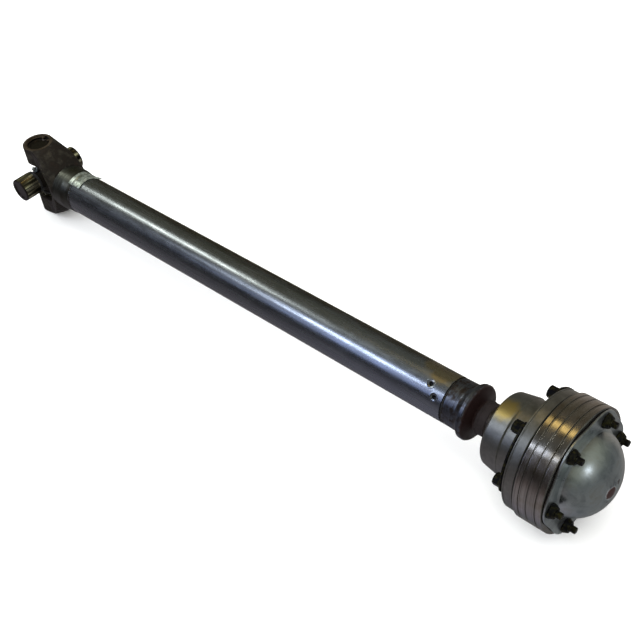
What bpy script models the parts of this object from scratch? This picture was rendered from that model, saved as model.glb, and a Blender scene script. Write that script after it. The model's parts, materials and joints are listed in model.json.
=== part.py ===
"""Front propeller shaft: a welded tube with a cardan joint at one end and a ball joint at the other.

All dimensions are in millimetres and are turned into metres where a mesh is written.
+X runs along the shaft towards the dome, +Z is the axis of the yoke's ears, and the origin is
on the shaft's axis, halfway along the whole length.
"""
import math

import bmesh
import bpy
import numpy as np
from mathutils import Matrix, Vector

MM = 0.001
GAP = 0.3                      # between pieces that touch

# ---- driving dimensions ----
HALF_LENGTH = 386.1            # from the origin to the ears' ends and to the dome's tip
TUBE_RADIUS = 22.225           # 1 3/4 inch tube
TUBE_WALL = 2.1
CAP_RADIUS = 13.5              # bearing caps of a 27 mm cross
CROSS_SPAN = 81.8              # across the closed ends of two opposite caps
EAR_RADIUS = 17.8
EAR_FACE = 43.6                # height of the machined ear faces above the axis
RACE_RADIUS = 57.2
BOLT_CIRCLE = 48.0             # radius
BOLT_COUNT = 6
BOLT_PHASE = -2.0              # degrees, from +Y towards +Z
BALL_COUNT = 8
BALL_RADIUS = 7.14
BALL_CIRCLE = 29.0             # radius of the balls' centres
LOBE_HEIGHT = 2.1              # half the rise of the lobes around the bolts

# ---- stations along X ----
CROSS_X = -HALF_LENGTH + EAR_RADIUS
HUB_LEFT = -326.8
HUB_RIGHT = -300.8
TUBE_LEFT = -297.6
TUBE_RIGHT = 226.6
COLLAR_LEFT = 228.8
COLLAR_RIGHT = 253.0
CAN_LEFT = 278.2
CAN_STEP = 297.2
CAN_FLANGE = 315.9
CAN_RIGHT = 326.2
RACE_LEFT = 327.6
RACE_RIGHT = 355.2
RACE_CENTRE = (RACE_LEFT + RACE_RIGHT) / 2
DOME_FLANGE = 356.4
DOME_FACE = 357.9
BOLT_HEAD = 305.2
BOLT_TIP = 368.7

# ---- derived sizes ----
TUBE_BORE = TUBE_RADIUS - TUBE_WALL
CAP_END = CROSS_SPAN / 2
CAP_MOUTH = 21.2
CAP_BORE = 11.4
TRUNNION_RADIUS = 8.4
EAR_BORE = CAP_RADIUS + GAP
SHAFT_RADIUS = 13.0
SPLINE_RADIUS = 12.2
INNER_SPHERE = 26.7
CAGE_INNER = 27.2
CAGE_OUTER = 31.0
OUTER_SPHERE = 31.4
TRACK_RADIUS = BALL_RADIUS + 0.6
BOLT_RADIUS = 4.0
BOLT_HOLE = BOLT_RADIUS + 0.4
BALL_STEP = 360 / BALL_COUNT

# ---- sides of the turned pieces ----
LARGE = 36
MEDIUM = 24
SMALL = 18


# ---- materials ----
def make_material(name, color, roughness, metallic):
    material = bpy.data.materials.new(name)
    material.use_nodes = True
    shader = material.node_tree.nodes["Principled BSDF"]
    shader.inputs["Base Color"].default_value = (*color, 1)
    shader.inputs["Roughness"].default_value = roughness
    shader.inputs["Metallic"].default_value = metallic
    material.diffuse_color = (*color, 1)
    return material


# ---- mesh tools ----
def add_object(name, verts, faces, material):
    """A mesh from points in millimetres, with its faces turned outwards."""
    mesh = bpy.data.meshes.new(name)
    mesh.from_pydata([tuple(c * MM for c in v) for v in verts], [], faces)
    shell = bmesh.new()
    shell.from_mesh(mesh)
    bmesh.ops.recalc_face_normals(shell, faces=shell.faces)
    if shell.calc_volume(signed=True) < 0:
        bmesh.ops.reverse_faces(shell, faces=shell.faces)
    shell.to_mesh(mesh)
    shell.free()
    obj = bpy.data.objects.new(name, mesh)
    bpy.context.collection.objects.link(obj)
    mesh.materials.append(material)
    return obj


def ring_points(x, radius, segments, lobe=0.0, first=0.0, last=360.0):
    """Points round the X axis, with an optional sixfold lobe centred on each bolt."""
    closed = last - first >= 360
    count = segments if closed else segments + 1
    points = []
    for i in range(count):
        angle = math.radians(first + (last - first) * i / segments)
        swell = lobe * (math.cos(BOLT_COUNT * (angle - math.radians(BOLT_PHASE))) - 1)
        r = radius + swell
        points.append((x, r * math.cos(angle), r * math.sin(angle)))
    return points


def turned(name, profile, segments, material, first=0.0, last=360.0):
    """Turns a closed outline of (x, radius) or (x, radius, lobe) about X.

    A radius of 0 becomes a single point on the axis. With first and last the piece is a sector
    with flat ends.
    """
    closed = last - first >= 360
    count = segments if closed else segments + 1
    verts, rings = [], []
    for x, radius, *lobe in profile:
        start = len(verts)
        if radius == 0:
            verts.append((x, 0, 0))
            rings.append([start] * count)
        else:
            verts += ring_points(x, radius, segments, lobe[0] if lobe else 0.0, first, last)
            rings.append(list(range(start, start + count)))
    faces = []
    for a, b in zip(rings, rings[1:] + rings[:1]):
        for i in range(segments):
            j = (i + 1) % count
            corners = list(dict.fromkeys([a[i], a[j], b[j], b[i]]))
            if len(corners) > 2:
                faces.append(corners)
    if not closed:
        faces.append([ring[0] for ring in rings])
        faces.append([ring[-1] for ring in rings])
    return add_object(name, verts, faces, material)


def prism(name, outline, low, high, material):
    """An outline in the XY plane carried from z = low to z = high."""
    count = len(outline)
    verts = [(x, y, low) for x, y in outline] + [(x, y, high) for x, y in outline]
    faces = [list(range(count)), list(range(count, 2 * count))]
    faces += [[i, (i + 1) % count, count + (i + 1) % count, count + i] for i in range(count)]
    return add_object(name, verts, faces, material)


def arc(cx, cy, radius, first, last, steps):
    """Points of an arc, angles in degrees."""
    angles = np.radians(np.linspace(first, last, steps + 1))
    return [(cx + radius * math.cos(a), cy + radius * math.sin(a)) for a in angles]


def bake_transform(obj):
    """Applies an object's own rotation and place to its mesh."""
    obj.data.transform(obj.matrix_basis)
    obj.matrix_basis = Matrix.Identity(4)


def combine(target, tool, operation):
    """Joins a tool to the target or cuts it away, and removes the tool."""
    modifier = target.modifiers.new("combine", "BOOLEAN")
    modifier.object = tool
    modifier.operation = operation
    modifier.solver = "EXACT"
    bpy.context.view_layer.update()
    result = bpy.data.meshes.new_from_object(target.evaluated_get(bpy.context.evaluated_depsgraph_get()))
    target.modifiers.clear()
    target.data = result
    bpy.data.objects.remove(tool)


def tidy_mesh(obj):
    """Merges the slivers that cuts leave, joins flat faces and splits them into triangles."""
    shell = bmesh.new()
    shell.from_mesh(obj.data)
    bmesh.ops.remove_doubles(shell, verts=shell.verts, dist=0.002 * MM)
    bmesh.ops.dissolve_degenerate(shell, edges=shell.edges, dist=0.002 * MM)
    bmesh.ops.dissolve_limit(shell, angle_limit=math.radians(0.3), verts=shell.verts,
                             edges=shell.edges)
    bmesh.ops.triangulate(shell, faces=shell.faces)
    shell.to_mesh(obj.data)
    shell.free()


def finish(obj, parent, location=(0, 0, 0), rotation=(0, 0, 0)):
    """Shades an object smooth, hangs it on its joint's empty and places it."""
    obj.data.shade_smooth()
    obj.data.set_sharp_from_angle(angle=math.radians(35))
    obj.parent = parent
    obj.location = Vector(location) * MM
    obj.rotation_euler = rotation


def add_axis(name, x):
    """An empty on a joint's axis."""
    empty = bpy.data.objects.new(name, None)
    empty.empty_display_size = 0.03
    empty.location = (x * MM, 0, 0)
    bpy.context.collection.objects.link(empty)
    return empty


# ---- shaft ----
def make_tube(parent, material):
    profile = [(TUBE_LEFT, TUBE_BORE), (TUBE_LEFT, TUBE_RADIUS), (TUBE_RIGHT, TUBE_RADIUS),
               (TUBE_RIGHT, TUBE_BORE)]
    finish(turned("shaft_tube", profile, LARGE, material), parent)


def make_yoke(parent, material):
    """A forged fork: two ears on a round hub with a spigot inside the tube.

    Both arms are one slab with a round throat, narrowed to the ears' width, joined to the hub
    and bored through for the bearing caps.
    """
    throat = 33.0                          # from the cross centre to the bottom of the throat
    hub = HUB_LEFT - CROSS_X
    inner = 22.0                           # inner face of the ears
    reach = 38.0
    side = [(-EAR_RADIUS - 1, inner), (throat - inner, inner)]
    side += arc(throat - inner, 0, inner, 90, -90, 14)[1:-1]
    side += [(throat - inner, -inner), (-EAR_RADIUS - 1, -inner), (-EAR_RADIUS - 1, -EAR_FACE)]
    lower = [(reach - 10, -EAR_FACE)] + arc(reach - 10, -EAR_FACE + 12, 12, -90, 0, 6)[1:]
    lower += [(hub + 3, -22), (hub + 3, 22)]
    upper = arc(reach - 10, EAR_FACE - 12, 12, 0, 90, 6) + [(-EAR_RADIUS - 1, EAR_FACE)]
    fork = prism("tube_yoke", side + lower + upper, -26, 26, material)
    fork.rotation_euler = (math.pi / 2, 0, 0)
    bake_transform(fork)
    waist = 16.5
    plan = arc(0, 0, EAR_RADIUS, 100, 260, 14)
    plan += [(10, -waist), (20, -waist - 1.5), (30, -21.5), (hub, -24.2), (hub + 5, -24.2)]
    plan += [(hub + 5, 24.2), (hub, 24.2), (30, 21.5), (20, waist + 1.5), (10, waist)]
    combine(fork, prism("plan_tool", plan, -60, 60, material), "INTERSECT")
    round_limit = [(-30, 0), (-30, 60), (6, 50), (12, 45.5), (20, 43), (28, 38.5), (35, 33),
                   (hub + 1, 24.4), (hub + 6, 24.4), (hub + 6, 0)]
    combine(fork, turned("round_tool", round_limit, LARGE, material), "INTERSECT")
    spigot = TUBE_BORE - GAP
    profile = [(hub - 1.2, 0), (hub - 1.2, 23.2), (hub, 24.4), (hub + 14, 24.2), (hub + 23, 22.8),
               (HUB_RIGHT - CROSS_X, 22.6), (HUB_RIGHT - CROSS_X, spigot),
               (HUB_RIGHT - CROSS_X + 16, spigot), (HUB_RIGHT - CROSS_X + 17, spigot - 1),
               (HUB_RIGHT - CROSS_X + 17, 14), (hub + 12, 14), (hub + 9, 0)]
    combine(fork, turned("hub_tool", profile, LARGE, material), "UNION")
    bore = [(-EAR_FACE - 5, 0), (-EAR_FACE - 5, EAR_BORE)]
    for x, radius in ((-42.9, EAR_BORE), (-42.9, 14.9), (-40.95, 14.9), (-40.95, EAR_BORE)):
        bore.append((x, radius))
    bore += [(-x, radius) for x, radius in reversed(bore)]
    drill = turned("bore_tool", bore, MEDIUM, material)
    drill.rotation_euler = (0, math.pi / 2, 0)
    bake_transform(drill)
    combine(fork, drill, "DIFFERENCE")
    tidy_mesh(fork)
    finish(fork, parent)


def make_yoke_weld(parent, material):
    left, right = HUB_RIGHT + GAP, TUBE_LEFT - GAP
    profile = [(left, TUBE_BORE), (left, 22.5), (left + 0.7, 23.0), (right - 0.7, 23.0),
               (right, 22.3), (right, TUBE_BORE)]
    finish(turned("yoke_weld", profile, LARGE, material), parent)


def make_balance_weight(parent, material):
    """A curved steel strip laid over the joint between hub and tube."""
    profile = [(-286.0, 22.55), (-296.8, 22.55), (-297.4, 23.35), (-303.8, 23.35), (-303.8, 24.7),
               (-297.6, 24.8), (-286.0, 24.1)]
    finish(turned("balance_weight", profile, 14, material, 54, 121), parent)


def spline_outline(radius, depth, teeth):
    """A toothed outline about the origin."""
    points = []
    for i in range(teeth * 4):
        angle = 2 * math.pi * i / (teeth * 4)
        r = radius if i % 4 < 2 else radius - depth
        points.append((r * math.cos(angle), r * math.sin(angle)))
    return points


def along_x(obj, x):
    """Turns a prism made along Z to lie along X from station x."""
    obj.data.transform(Matrix.Translation((x * MM, 0, 0)) @ Matrix.Rotation(math.pi / 2, 4, "Y"))


def make_stub_shaft(parent, material):
    """The forged stub: a spigot in the tube, a flared collar, a plain neck and a splined end."""
    spigot = TUBE_BORE - GAP
    profile = [(204, 0), (204, spigot - 1), (205, spigot), (COLLAR_LEFT, spigot),
               (COLLAR_LEFT, 22.3), (241.9, 22.5), (244.2, 23.6), (247.2, 26.0),
               (COLLAR_RIGHT - 2.4, 26.3), (COLLAR_RIGHT - 0.6, 25.3), (COLLAR_RIGHT, 24.0),
               (COLLAR_RIGHT + 1.6, 17), (COLLAR_RIGHT + 2.6, SHAFT_RADIUS),
               (326, SHAFT_RADIUS), (328.4, 11.0), (331, 11.0), (331, 0)]
    stub = turned("stub_shaft", profile, MEDIUM, material)
    splined = prism("spline_tool", spline_outline(SPLINE_RADIUS, 1.2, 16), 0, 24, material)
    along_x(splined, 330)
    combine(stub, splined, "UNION")
    groove = [(351.1, 10.4), (351.1, 14), (352.7, 14), (352.7, 10.4)]
    combine(stub, turned("groove_tool", groove, SMALL, material), "DIFFERENCE")
    tidy_mesh(stub)
    finish(stub, parent)


def make_stub_weld(parent, material):
    """A weld sunk in the gap between tube and collar, which reads as a dark line."""
    left, right = TUBE_RIGHT + GAP, COLLAR_LEFT - GAP
    profile = [(left, TUBE_BORE), (left, 21.4), (right, 21.4), (right, TUBE_BORE)]
    finish(turned("stub_weld", profile, MEDIUM, material), parent)


def make_boot(parent, material):
    """A rubber bell: a sleeve on the stub that widens inside the can."""
    outside = [(258.5, 15.8), (268.4, 15.8), (268.6, 15.3), (275.4, 15.3), (275.8, 16.0),
               (294, 20.6), (308, 24.4), (318, 26.0)]
    inside = [(318, 23.6), (306, 21.6), (292, 17.4), (277, SHAFT_RADIUS + GAP),
              (258.5, SHAFT_RADIUS + GAP)]
    finish(turned("rubber_boot", outside + inside, SMALL, material), parent)


def make_boot_clamp(parent, material):
    profile = [(268.9, 15.6), (268.9, 16.4), (275.1, 16.4), (275.1, 15.6)]
    finish(turned("boot_clamp", profile, SMALL, material), parent)


# ---- cardan joint ----
def cap_profile():
    """A bearing cap, its closed end at CAP_END."""
    return [(CAP_MOUTH, CAP_BORE), (CAP_MOUTH, CAP_RADIUS - 0.5), (CAP_MOUTH + 0.5, CAP_RADIUS),
            (CAP_END - 1.0, CAP_RADIUS), (CAP_END, CAP_RADIUS - 1.0), (CAP_END, 0),
            (CAP_END - 3.0, 0), (CAP_END - 3.0, CAP_BORE)]


def needle_ring(name, material):
    """The full complement of needles round a trunnion, as one scalloped ring."""
    needles, radius = 14, 1.2
    centre = TRUNNION_RADIUS + GAP + radius
    inner, outer = [], []
    for i in range(needles * 2):
        angle = math.pi * i / needles
        bulge = radius if i % 2 == 0 else 0.45
        for points, r in ((inner, centre - bulge), (outer, centre + bulge)):
            points.append((r * math.cos(angle), r * math.sin(angle)))
    count = len(inner)
    low, high = 23.4, 37.3
    verts = [(x, a, b) for x in (low, high) for points in (inner, outer) for a, b in points]
    faces = []
    for i in range(count):
        j = (i + 1) % count
        loop = [0, count, 3 * count, 2 * count]
        for a, b in zip(loop, loop[1:] + loop[:1]):
            faces.append([a + i, a + j, b + j, b + i])
    return add_object(name, verts, faces, material)


def seal_profile():
    return [(17.6, TRUNNION_RADIUS + GAP), (17.6, 12.2), (18.4, 13.2), (20.2, 13.2),
            (20.9, 12.6), (20.9, TRUNNION_RADIUS + GAP)]


def point_into_crotch(obj):
    """Turns a piece made along X to point between the cross's front and upper arms."""
    turn = Vector((1, 0, 0)).rotation_difference(Vector((0, -1, 1)))
    obj.data.transform(turn.to_matrix().to_4x4())


def make_cross(parent, material):
    """Two crossed spindles on a round body, with a flat where the grease nipple screws in."""
    tip = CAP_END - 3.5
    profile = [(-tip, 0), (-tip, 7.4), (-tip + 1, TRUNNION_RADIUS), (-17.2, TRUNNION_RADIUS),
               (-17.2, 11.0), (-10, 12.2), (10, 12.2), (17.2, 11.0), (17.2, TRUNNION_RADIUS),
               (tip - 1, TRUNNION_RADIUS), (tip, 7.4), (tip, 0)]
    upright = turned("journal_cross", profile, SMALL, material)
    upright.rotation_euler = (0, math.pi / 2, 0)
    bake_transform(upright)
    level = turned("level_tool", profile, SMALL, material)
    level.rotation_euler = (0, 0, math.pi / 2)
    bake_transform(level)
    combine(upright, level, "UNION")
    body = [(-11.5, 0), (-11.5, 10.5), (-9.5, 13.5), (-4, 16.2), (4, 16.2), (9.5, 13.5),
            (11.5, 10.5), (11.5, 0)]
    combine(upright, turned("body_tool", body, MEDIUM, material), "UNION")
    seat = turned("seat_tool", [(16.3, 0), (16.3, 3.9), (30, 3.9), (30, 0)], 12, material)
    point_into_crotch(seat)
    combine(upright, seat, "DIFFERENCE")
    tidy_mesh(upright)
    finish(upright, parent)


def make_nipple(parent, material):
    profile = [(16.6, 0), (16.6, 2.6), (18.4, 3.4), (20.2, 3.4), (20.4, 2.0), (22.2, 1.8),
               (23.0, 2.3), (24.0, 1.6), (24.3, 0)]
    nipple = turned("grease_nipple", profile, 10, material)
    point_into_crotch(nipple)
    finish(nipple, parent)


def make_snap_ring(name, parent, turn, material):
    """An open spring ring, in the groove above a pressed-in cap."""
    profile = [(41.25, 12.4), (41.25, 14.5), (42.6, 14.5), (42.6, 12.4)]
    finish(turned(name, profile, 20, material, 18, 342), parent, rotation=turn)


# ---- ball joint ----
def track_tool(angle, material):
    """A ring of round section whose circle holds two opposite ball tracks."""
    steps, sides = 32, 10
    verts, faces = [], []
    for i in range(steps):
        around = 2 * math.pi * i / steps
        for j in range(sides):
            side = 2 * math.pi * (j + 0.5) / sides
            r = BALL_CIRCLE + TRACK_RADIUS * math.cos(side)
            verts.append((r * math.cos(around), r * math.sin(around), TRACK_RADIUS * math.sin(side)))
            k, m = (i + 1) % steps, (j + 1) % sides
            faces.append([i * sides + j, k * sides + j, k * sides + m, i * sides + m])
    tool = add_object("track_tool", verts, faces, material)
    tool.rotation_euler = (math.radians(angle), 0, 0)
    bake_transform(tool)
    return tool


def sphere_arc(radius, half_width, steps):
    """Points (x, radius) of a sphere's outline between two planes."""
    limit = math.asin(half_width / radius)
    angles = np.linspace(-limit, limit, steps + 1)
    return [(radius * math.sin(a), radius * math.cos(a)) for a in angles]


def cut_tracks(obj, material):
    for i in range(BALL_COUNT // 2):
        combine(obj, track_tool(i * BALL_STEP, material), "DIFFERENCE")


def make_inner_race(parent, material):
    half = 9.6
    profile = sphere_arc(INNER_SPHERE, half, 4) + [(half, 8), (-half, 8)]
    race = turned("inner_race", profile, MEDIUM, material)
    bore = prism("bore_tool", spline_outline(SPLINE_RADIUS + GAP, 1.2, 16), -20, 20, material)
    along_x(bore, 0)
    combine(race, bore, "DIFFERENCE")
    cut_tracks(race, material)
    tidy_mesh(race)
    finish(race, parent, (RACE_CENTRE, 0, 0))


def make_race_ring(parent, material):
    """The spring ring that keeps the inner race on its splines."""
    profile = [(351.35, 10.7), (351.35, 13.2), (352.4, 13.2), (352.4, 10.7)]
    finish(turned("race_snap_ring", profile, 20, material, 15, 345), parent)


def make_cage(parent, material):
    half = 12.0
    profile = sphere_arc(CAGE_OUTER, half, 4) + sphere_arc(CAGE_INNER, half, 4)[::-1]
    cage = turned("ball_cage", profile, LARGE, material)
    window = BALL_RADIUS + GAP
    outline = [(-window, -window), (window, -window), (window, window), (-window, window)]
    for i in range(BALL_COUNT):
        tool = prism("window_tool", outline, 18, 40, material)
        tool.rotation_euler = (math.radians(i * BALL_STEP), 0, 0)
        bake_transform(tool)
        combine(cage, tool, "DIFFERENCE")
    tidy_mesh(cage)
    finish(cage, parent)


def make_ball(index, parent, material):
    """One ball. The first is at +Y and they go round towards +Z."""
    angle = math.radians(index * BALL_STEP)
    outline = [(-BALL_RADIUS * math.cos(a), BALL_RADIUS * math.sin(a))
               for a in np.linspace(0, math.pi, 7)]
    outline[0], outline[-1] = (-BALL_RADIUS, 0), (BALL_RADIUS, 0)
    ball = turned(f"cv_ball_{index + 1}", outline, 12, material)
    place = (0, BALL_CIRCLE * math.cos(angle), BALL_CIRCLE * math.sin(angle))
    finish(ball, parent, place)


def bolt_places():
    for i in range(BOLT_COUNT):
        angle = math.radians(BOLT_PHASE + i * 360 / BOLT_COUNT)
        yield i, BOLT_CIRCLE * math.cos(angle), BOLT_CIRCLE * math.sin(angle)


def drill_bolt_holes(obj, material):
    hole = [(280, 0), (280, BOLT_HOLE), (380, BOLT_HOLE), (380, 0)]
    for _, y, z in bolt_places():
        tool = turned("hole_tool", hole, 10, material)
        tool.location = (0, y * MM, z * MM)
        bake_transform(tool)
        combine(obj, tool, "DIFFERENCE")
    tidy_mesh(obj)


def local(profile):
    """Shifts an outline from stations on the shaft to the ball joint's centre."""
    return [(point[0] - RACE_CENTRE, *point[1:]) for point in profile]


def make_outer_race(parent, material):
    """A thick ring with four bands outside, a spherical bore and ball tracks inside."""
    chamfer, half_groove, groove_depth = 0.8, 0.7, 0.9
    grooves = (333.5, 340.9, 349.2)
    outside = [(RACE_LEFT, RACE_RADIUS - chamfer), (RACE_LEFT + chamfer, RACE_RADIUS)]
    for groove in grooves:
        outside.append((groove - half_groove, RACE_RADIUS))
        outside.append((groove, RACE_RADIUS - groove_depth))
        outside.append((groove + half_groove, RACE_RADIUS))
    outside += [(RACE_RIGHT - chamfer, RACE_RADIUS), (RACE_RIGHT, RACE_RADIUS - chamfer)]
    half = (RACE_RIGHT - RACE_LEFT) / 2
    inside = sphere_arc(OUTER_SPHERE, half, 5)[::-1]
    race = turned("outer_race", local(outside) + inside, LARGE, material)
    race.location = (RACE_CENTRE * MM, 0, 0)
    bake_transform(race)
    drill_bolt_holes(race, material)
    race.location = (-RACE_CENTRE * MM, 0, 0)
    bake_transform(race)
    cut_tracks(race, material)
    tidy_mesh(race)
    finish(race, parent)


def make_boot_can(parent, material):
    """A can round the boot with a rolled mouth, a step and a thick flange."""
    outside = [(CAN_LEFT, 32.6), (CAN_LEFT + 1.4, 34.2), (CAN_STEP - 0.5, 37.3),
               (CAN_STEP + 0.3, 36.5), (CAN_FLANGE - 1.6, 37.2), (CAN_FLANGE, 40.0),
               (CAN_FLANGE, 55.0), (CAN_RIGHT, 55.2)]
    inside = [(CAN_RIGHT, 36.5), (CAN_FLANGE, 35.2), (CAN_STEP, 34.4), (CAN_LEFT + 3, 32.2),
              (CAN_LEFT + 2.2, 31.2), (CAN_LEFT, 31.2)]
    can = turned("boot_can", outside + inside, LARGE, material)
    drill_bolt_holes(can, material)
    finish(can, parent, (-RACE_CENTRE, 0, 0))


def make_gasket(name, low, high, radius, lobe, parent, material):
    profile = [(low, 40.5), (low, radius, lobe), (high, radius, lobe), (high, 40.5)]
    gasket = turned(name, profile, LARGE, material)
    drill_bolt_holes(gasket, material)
    finish(gasket, parent, (-RACE_CENTRE, 0, 0))


def make_dome(parent, material):
    """A pressed grease cap: a lobed flange and a domed shell of constant thickness."""
    base, height, radius, sheet = 353.2, HALF_LENGTH - 353.2, 39.5, 1.5
    steps = 5
    start = math.asin((DOME_FACE + 0.8 - base) / height)
    angles = np.linspace(start, math.pi / 2, steps + 1)
    outside = [(base + height * math.sin(a), radius * math.cos(a)) for a in angles[:-1]]
    inside = [(base + (height - sheet) * math.sin(a), (radius - sheet) * math.cos(a))
              for a in angles[:-1]]
    profile = [(DOME_FLANGE, radius - 2.4), (DOME_FLANGE, RACE_RADIUS - 0.5, LOBE_HEIGHT),
               (DOME_FACE, RACE_RADIUS - 0.5, LOBE_HEIGHT), (DOME_FACE, radius + 0.7)]
    profile += outside + [(HALF_LENGTH, 0), (HALF_LENGTH - sheet, 0)] + inside[::-1]
    dome = turned("dome_cap", profile, LARGE, material)
    drill_bolt_holes(dome, material)
    finish(dome, parent, (-RACE_CENTRE, 0, 0))


def make_bolt(index, y, z, parent, material):
    """A hexagon-headed bolt with a turned-down dog point."""
    corner, height = 5.8, 8.0
    head = prism(f"flange_bolt_{index + 1}", arc(0, 0, corner, 0, 300, 5), 0, height, material)
    along_x(head, BOLT_HEAD)
    end = BOLT_TIP
    shank = [(BOLT_HEAD + 4, 0), (BOLT_HEAD + 4, 3), (BOLT_HEAD + 7.8, BOLT_RADIUS),
             (end - 6.4, BOLT_RADIUS), (end - 4.6, 3.0), (end - 0.6, 3.0), (end, 2.4), (end, 0)]
    combine(head, turned("shank_tool", shank, 12, material), "UNION")
    tidy_mesh(head)
    finish(head, parent, (-RACE_CENTRE, y, z))


def make_sleeve(index, y, z, parent, material):
    """A tapered sleeve round a bolt's threads, which keeps the bolt in its hole."""
    foot = DOME_FACE + GAP
    bore = BOLT_RADIUS + GAP
    profile = [(foot, bore), (foot, 6.8), (foot + 1.0, 6.8), (foot + 5.0, 5.0), (foot + 5.0, bore)]
    finish(turned(f"bolt_sleeve_{index + 1}", profile, 12, material), parent, (-RACE_CENTRE, y, z))


def make_retainer(index, parent, material):
    """A curved plate under a pair of bolt heads, which shows past the can's flange."""
    inner, outer, overhang = 42.0, 55.6, 8.0
    first = BOLT_PHASE + index * 2 * 360 / BOLT_COUNT
    last = first + 360 / BOLT_COUNT
    right = CAN_FLANGE - GAP
    left = BOLT_HEAD + 8.0 + GAP
    profile = [(left, inner), (left, outer), (right, outer), (right, inner)]
    plate = turned(f"bolt_retainer_{index + 1}", profile, 10, material, first - overhang,
                   last + overhang)
    drill_bolt_holes(plate, material)
    finish(plate, parent, (-RACE_CENTRE, 0, 0))


def clear_scene():
    for obj in list(bpy.data.objects):
        bpy.data.objects.remove(obj)


def build():
    clear_scene()
    tube_steel = make_material("drawn_tube_steel", (0.16, 0.17, 0.18), 0.32, 1.0)
    forged = make_material("forged_black", (0.035, 0.03, 0.026), 0.55, 0.8)
    collar_steel = make_material("stub_forging", (0.06, 0.06, 0.07), 0.4, 0.9)
    weld = make_material("weld_bead", (0.13, 0.13, 0.13), 0.45, 0.9)
    strip = make_material("coated_strip", (0.33, 0.36, 0.33), 0.4, 0.7)
    bearing = make_material("bearing_steel", (0.3, 0.28, 0.24), 0.25, 1.0)
    rubber = make_material("black_rubber", (0.03, 0.015, 0.014), 0.7, 0.0)
    spring = make_material("spring_steel", (0.12, 0.11, 0.1), 0.4, 1.0)
    ground = make_material("ground_steel", (0.5, 0.5, 0.5), 0.15, 1.0)
    machined = make_material("machined_steel", (0.55, 0.52, 0.46), 0.25, 1.0)
    zinc = make_material("zinc_plate", (0.5, 0.53, 0.54), 0.3, 1.0)
    oxide = make_material("black_oxide", (0.02, 0.02, 0.021), 0.4, 0.8)
    paper = make_material("gasket_paper", (0.05, 0.045, 0.04), 0.8, 0.0)

    shaft_axis = add_axis("shaft_axis", 0)
    cross_axis = add_axis("cross_axis", CROSS_X)
    joint_axis = add_axis("ball_joint_centre", RACE_CENTRE)

    make_tube(shaft_axis, tube_steel)
    make_yoke(cross_axis, forged)
    make_yoke_weld(shaft_axis, weld)
    make_balance_weight(shaft_axis, strip)
    make_stub_shaft(shaft_axis, collar_steel)
    make_stub_weld(shaft_axis, weld)
    make_boot(shaft_axis, rubber)
    make_boot_clamp(shaft_axis, spring)
    make_inner_race(shaft_axis, ground)
    make_race_ring(shaft_axis, spring)

    make_cross(cross_axis, ground)
    make_nipple(cross_axis, zinc)
    quarter = math.pi / 2
    arms = {"upper": (0, -quarter, 0), "lower": (0, quarter, 0),
            "front": (0, 0, -quarter), "rear": (0, 0, quarter)}
    for side, turn in arms.items():
        finish(turned(f"bearing_cap_{side}", cap_profile(), MEDIUM, bearing), cross_axis, rotation=turn)
        finish(needle_ring(f"needle_ring_{side}", ground), cross_axis, rotation=turn)
        seal = turned(f"journal_seal_{side}", seal_profile(), SMALL, rubber)
        finish(seal, cross_axis, rotation=turn)
    for side in ("upper", "lower"):
        make_snap_ring(f"snap_ring_{side}", cross_axis, arms[side], spring)

    make_cage(joint_axis, ground)
    for index in range(BALL_COUNT):
        make_ball(index, joint_axis, ground)
    make_outer_race(joint_axis, machined)
    make_boot_can(joint_axis, machined)
    make_gasket("can_gasket", CAN_RIGHT + GAP, RACE_LEFT - GAP, 53.6, 0.0, joint_axis, paper)
    make_gasket("dome_gasket", RACE_RIGHT + GAP, DOME_FLANGE - GAP, RACE_RADIUS - 1.2,
                LOBE_HEIGHT, joint_axis, paper)
    make_dome(joint_axis, zinc)
    for index, y, z in bolt_places():
        make_bolt(index, y, z, joint_axis, oxide)
        make_sleeve(index, y, z, joint_axis, oxide)
    for index in range(BOLT_COUNT // 2):
        make_retainer(index, joint_axis, oxide)


build()
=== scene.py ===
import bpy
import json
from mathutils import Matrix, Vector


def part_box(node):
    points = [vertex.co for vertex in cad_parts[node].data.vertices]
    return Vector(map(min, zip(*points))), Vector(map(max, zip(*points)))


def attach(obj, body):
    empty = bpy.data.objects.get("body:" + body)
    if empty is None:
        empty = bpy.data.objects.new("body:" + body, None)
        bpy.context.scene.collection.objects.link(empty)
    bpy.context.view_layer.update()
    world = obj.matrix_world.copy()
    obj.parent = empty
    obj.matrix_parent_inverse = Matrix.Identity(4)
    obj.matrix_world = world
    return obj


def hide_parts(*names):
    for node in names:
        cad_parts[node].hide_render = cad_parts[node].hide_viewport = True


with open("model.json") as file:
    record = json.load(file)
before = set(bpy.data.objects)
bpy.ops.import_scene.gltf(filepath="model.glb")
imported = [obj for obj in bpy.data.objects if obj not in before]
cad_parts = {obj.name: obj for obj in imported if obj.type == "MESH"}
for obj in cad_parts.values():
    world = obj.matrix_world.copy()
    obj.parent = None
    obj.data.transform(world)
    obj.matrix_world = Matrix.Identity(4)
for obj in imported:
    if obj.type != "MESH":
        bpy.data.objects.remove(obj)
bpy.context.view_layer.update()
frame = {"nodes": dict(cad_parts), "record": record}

import json
import bpy
import bmesh
import numpy as np
from mathutils import Matrix, Vector

# A universal joint shaft: a welded steel tube with a forged yoke and cross at one end and a bolted ball joint
# with a boot can and a domed cap at the other. +X runs along the shaft to the dome, +Z along the yoke's ears.
# Shapes are worked out in millimetres and turned to metres when a mesh is made.
mm = 0.001
wholeTurn = 2 * np.pi
joint = dict(bolts=6, circle=48.0, phase=-2.0, lobe=2.1)      # bolt circle of the ball joint, degrees and mm
crossX = -368.3                                               # centre of the cross
raceX = 341.4                                                 # centre of the ball joint


def boxMm(node):
    # a CAD node's lowest and highest corner in millimetres
    low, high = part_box(node)
    return np.array(low) / mm, np.array(high) / mm


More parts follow.
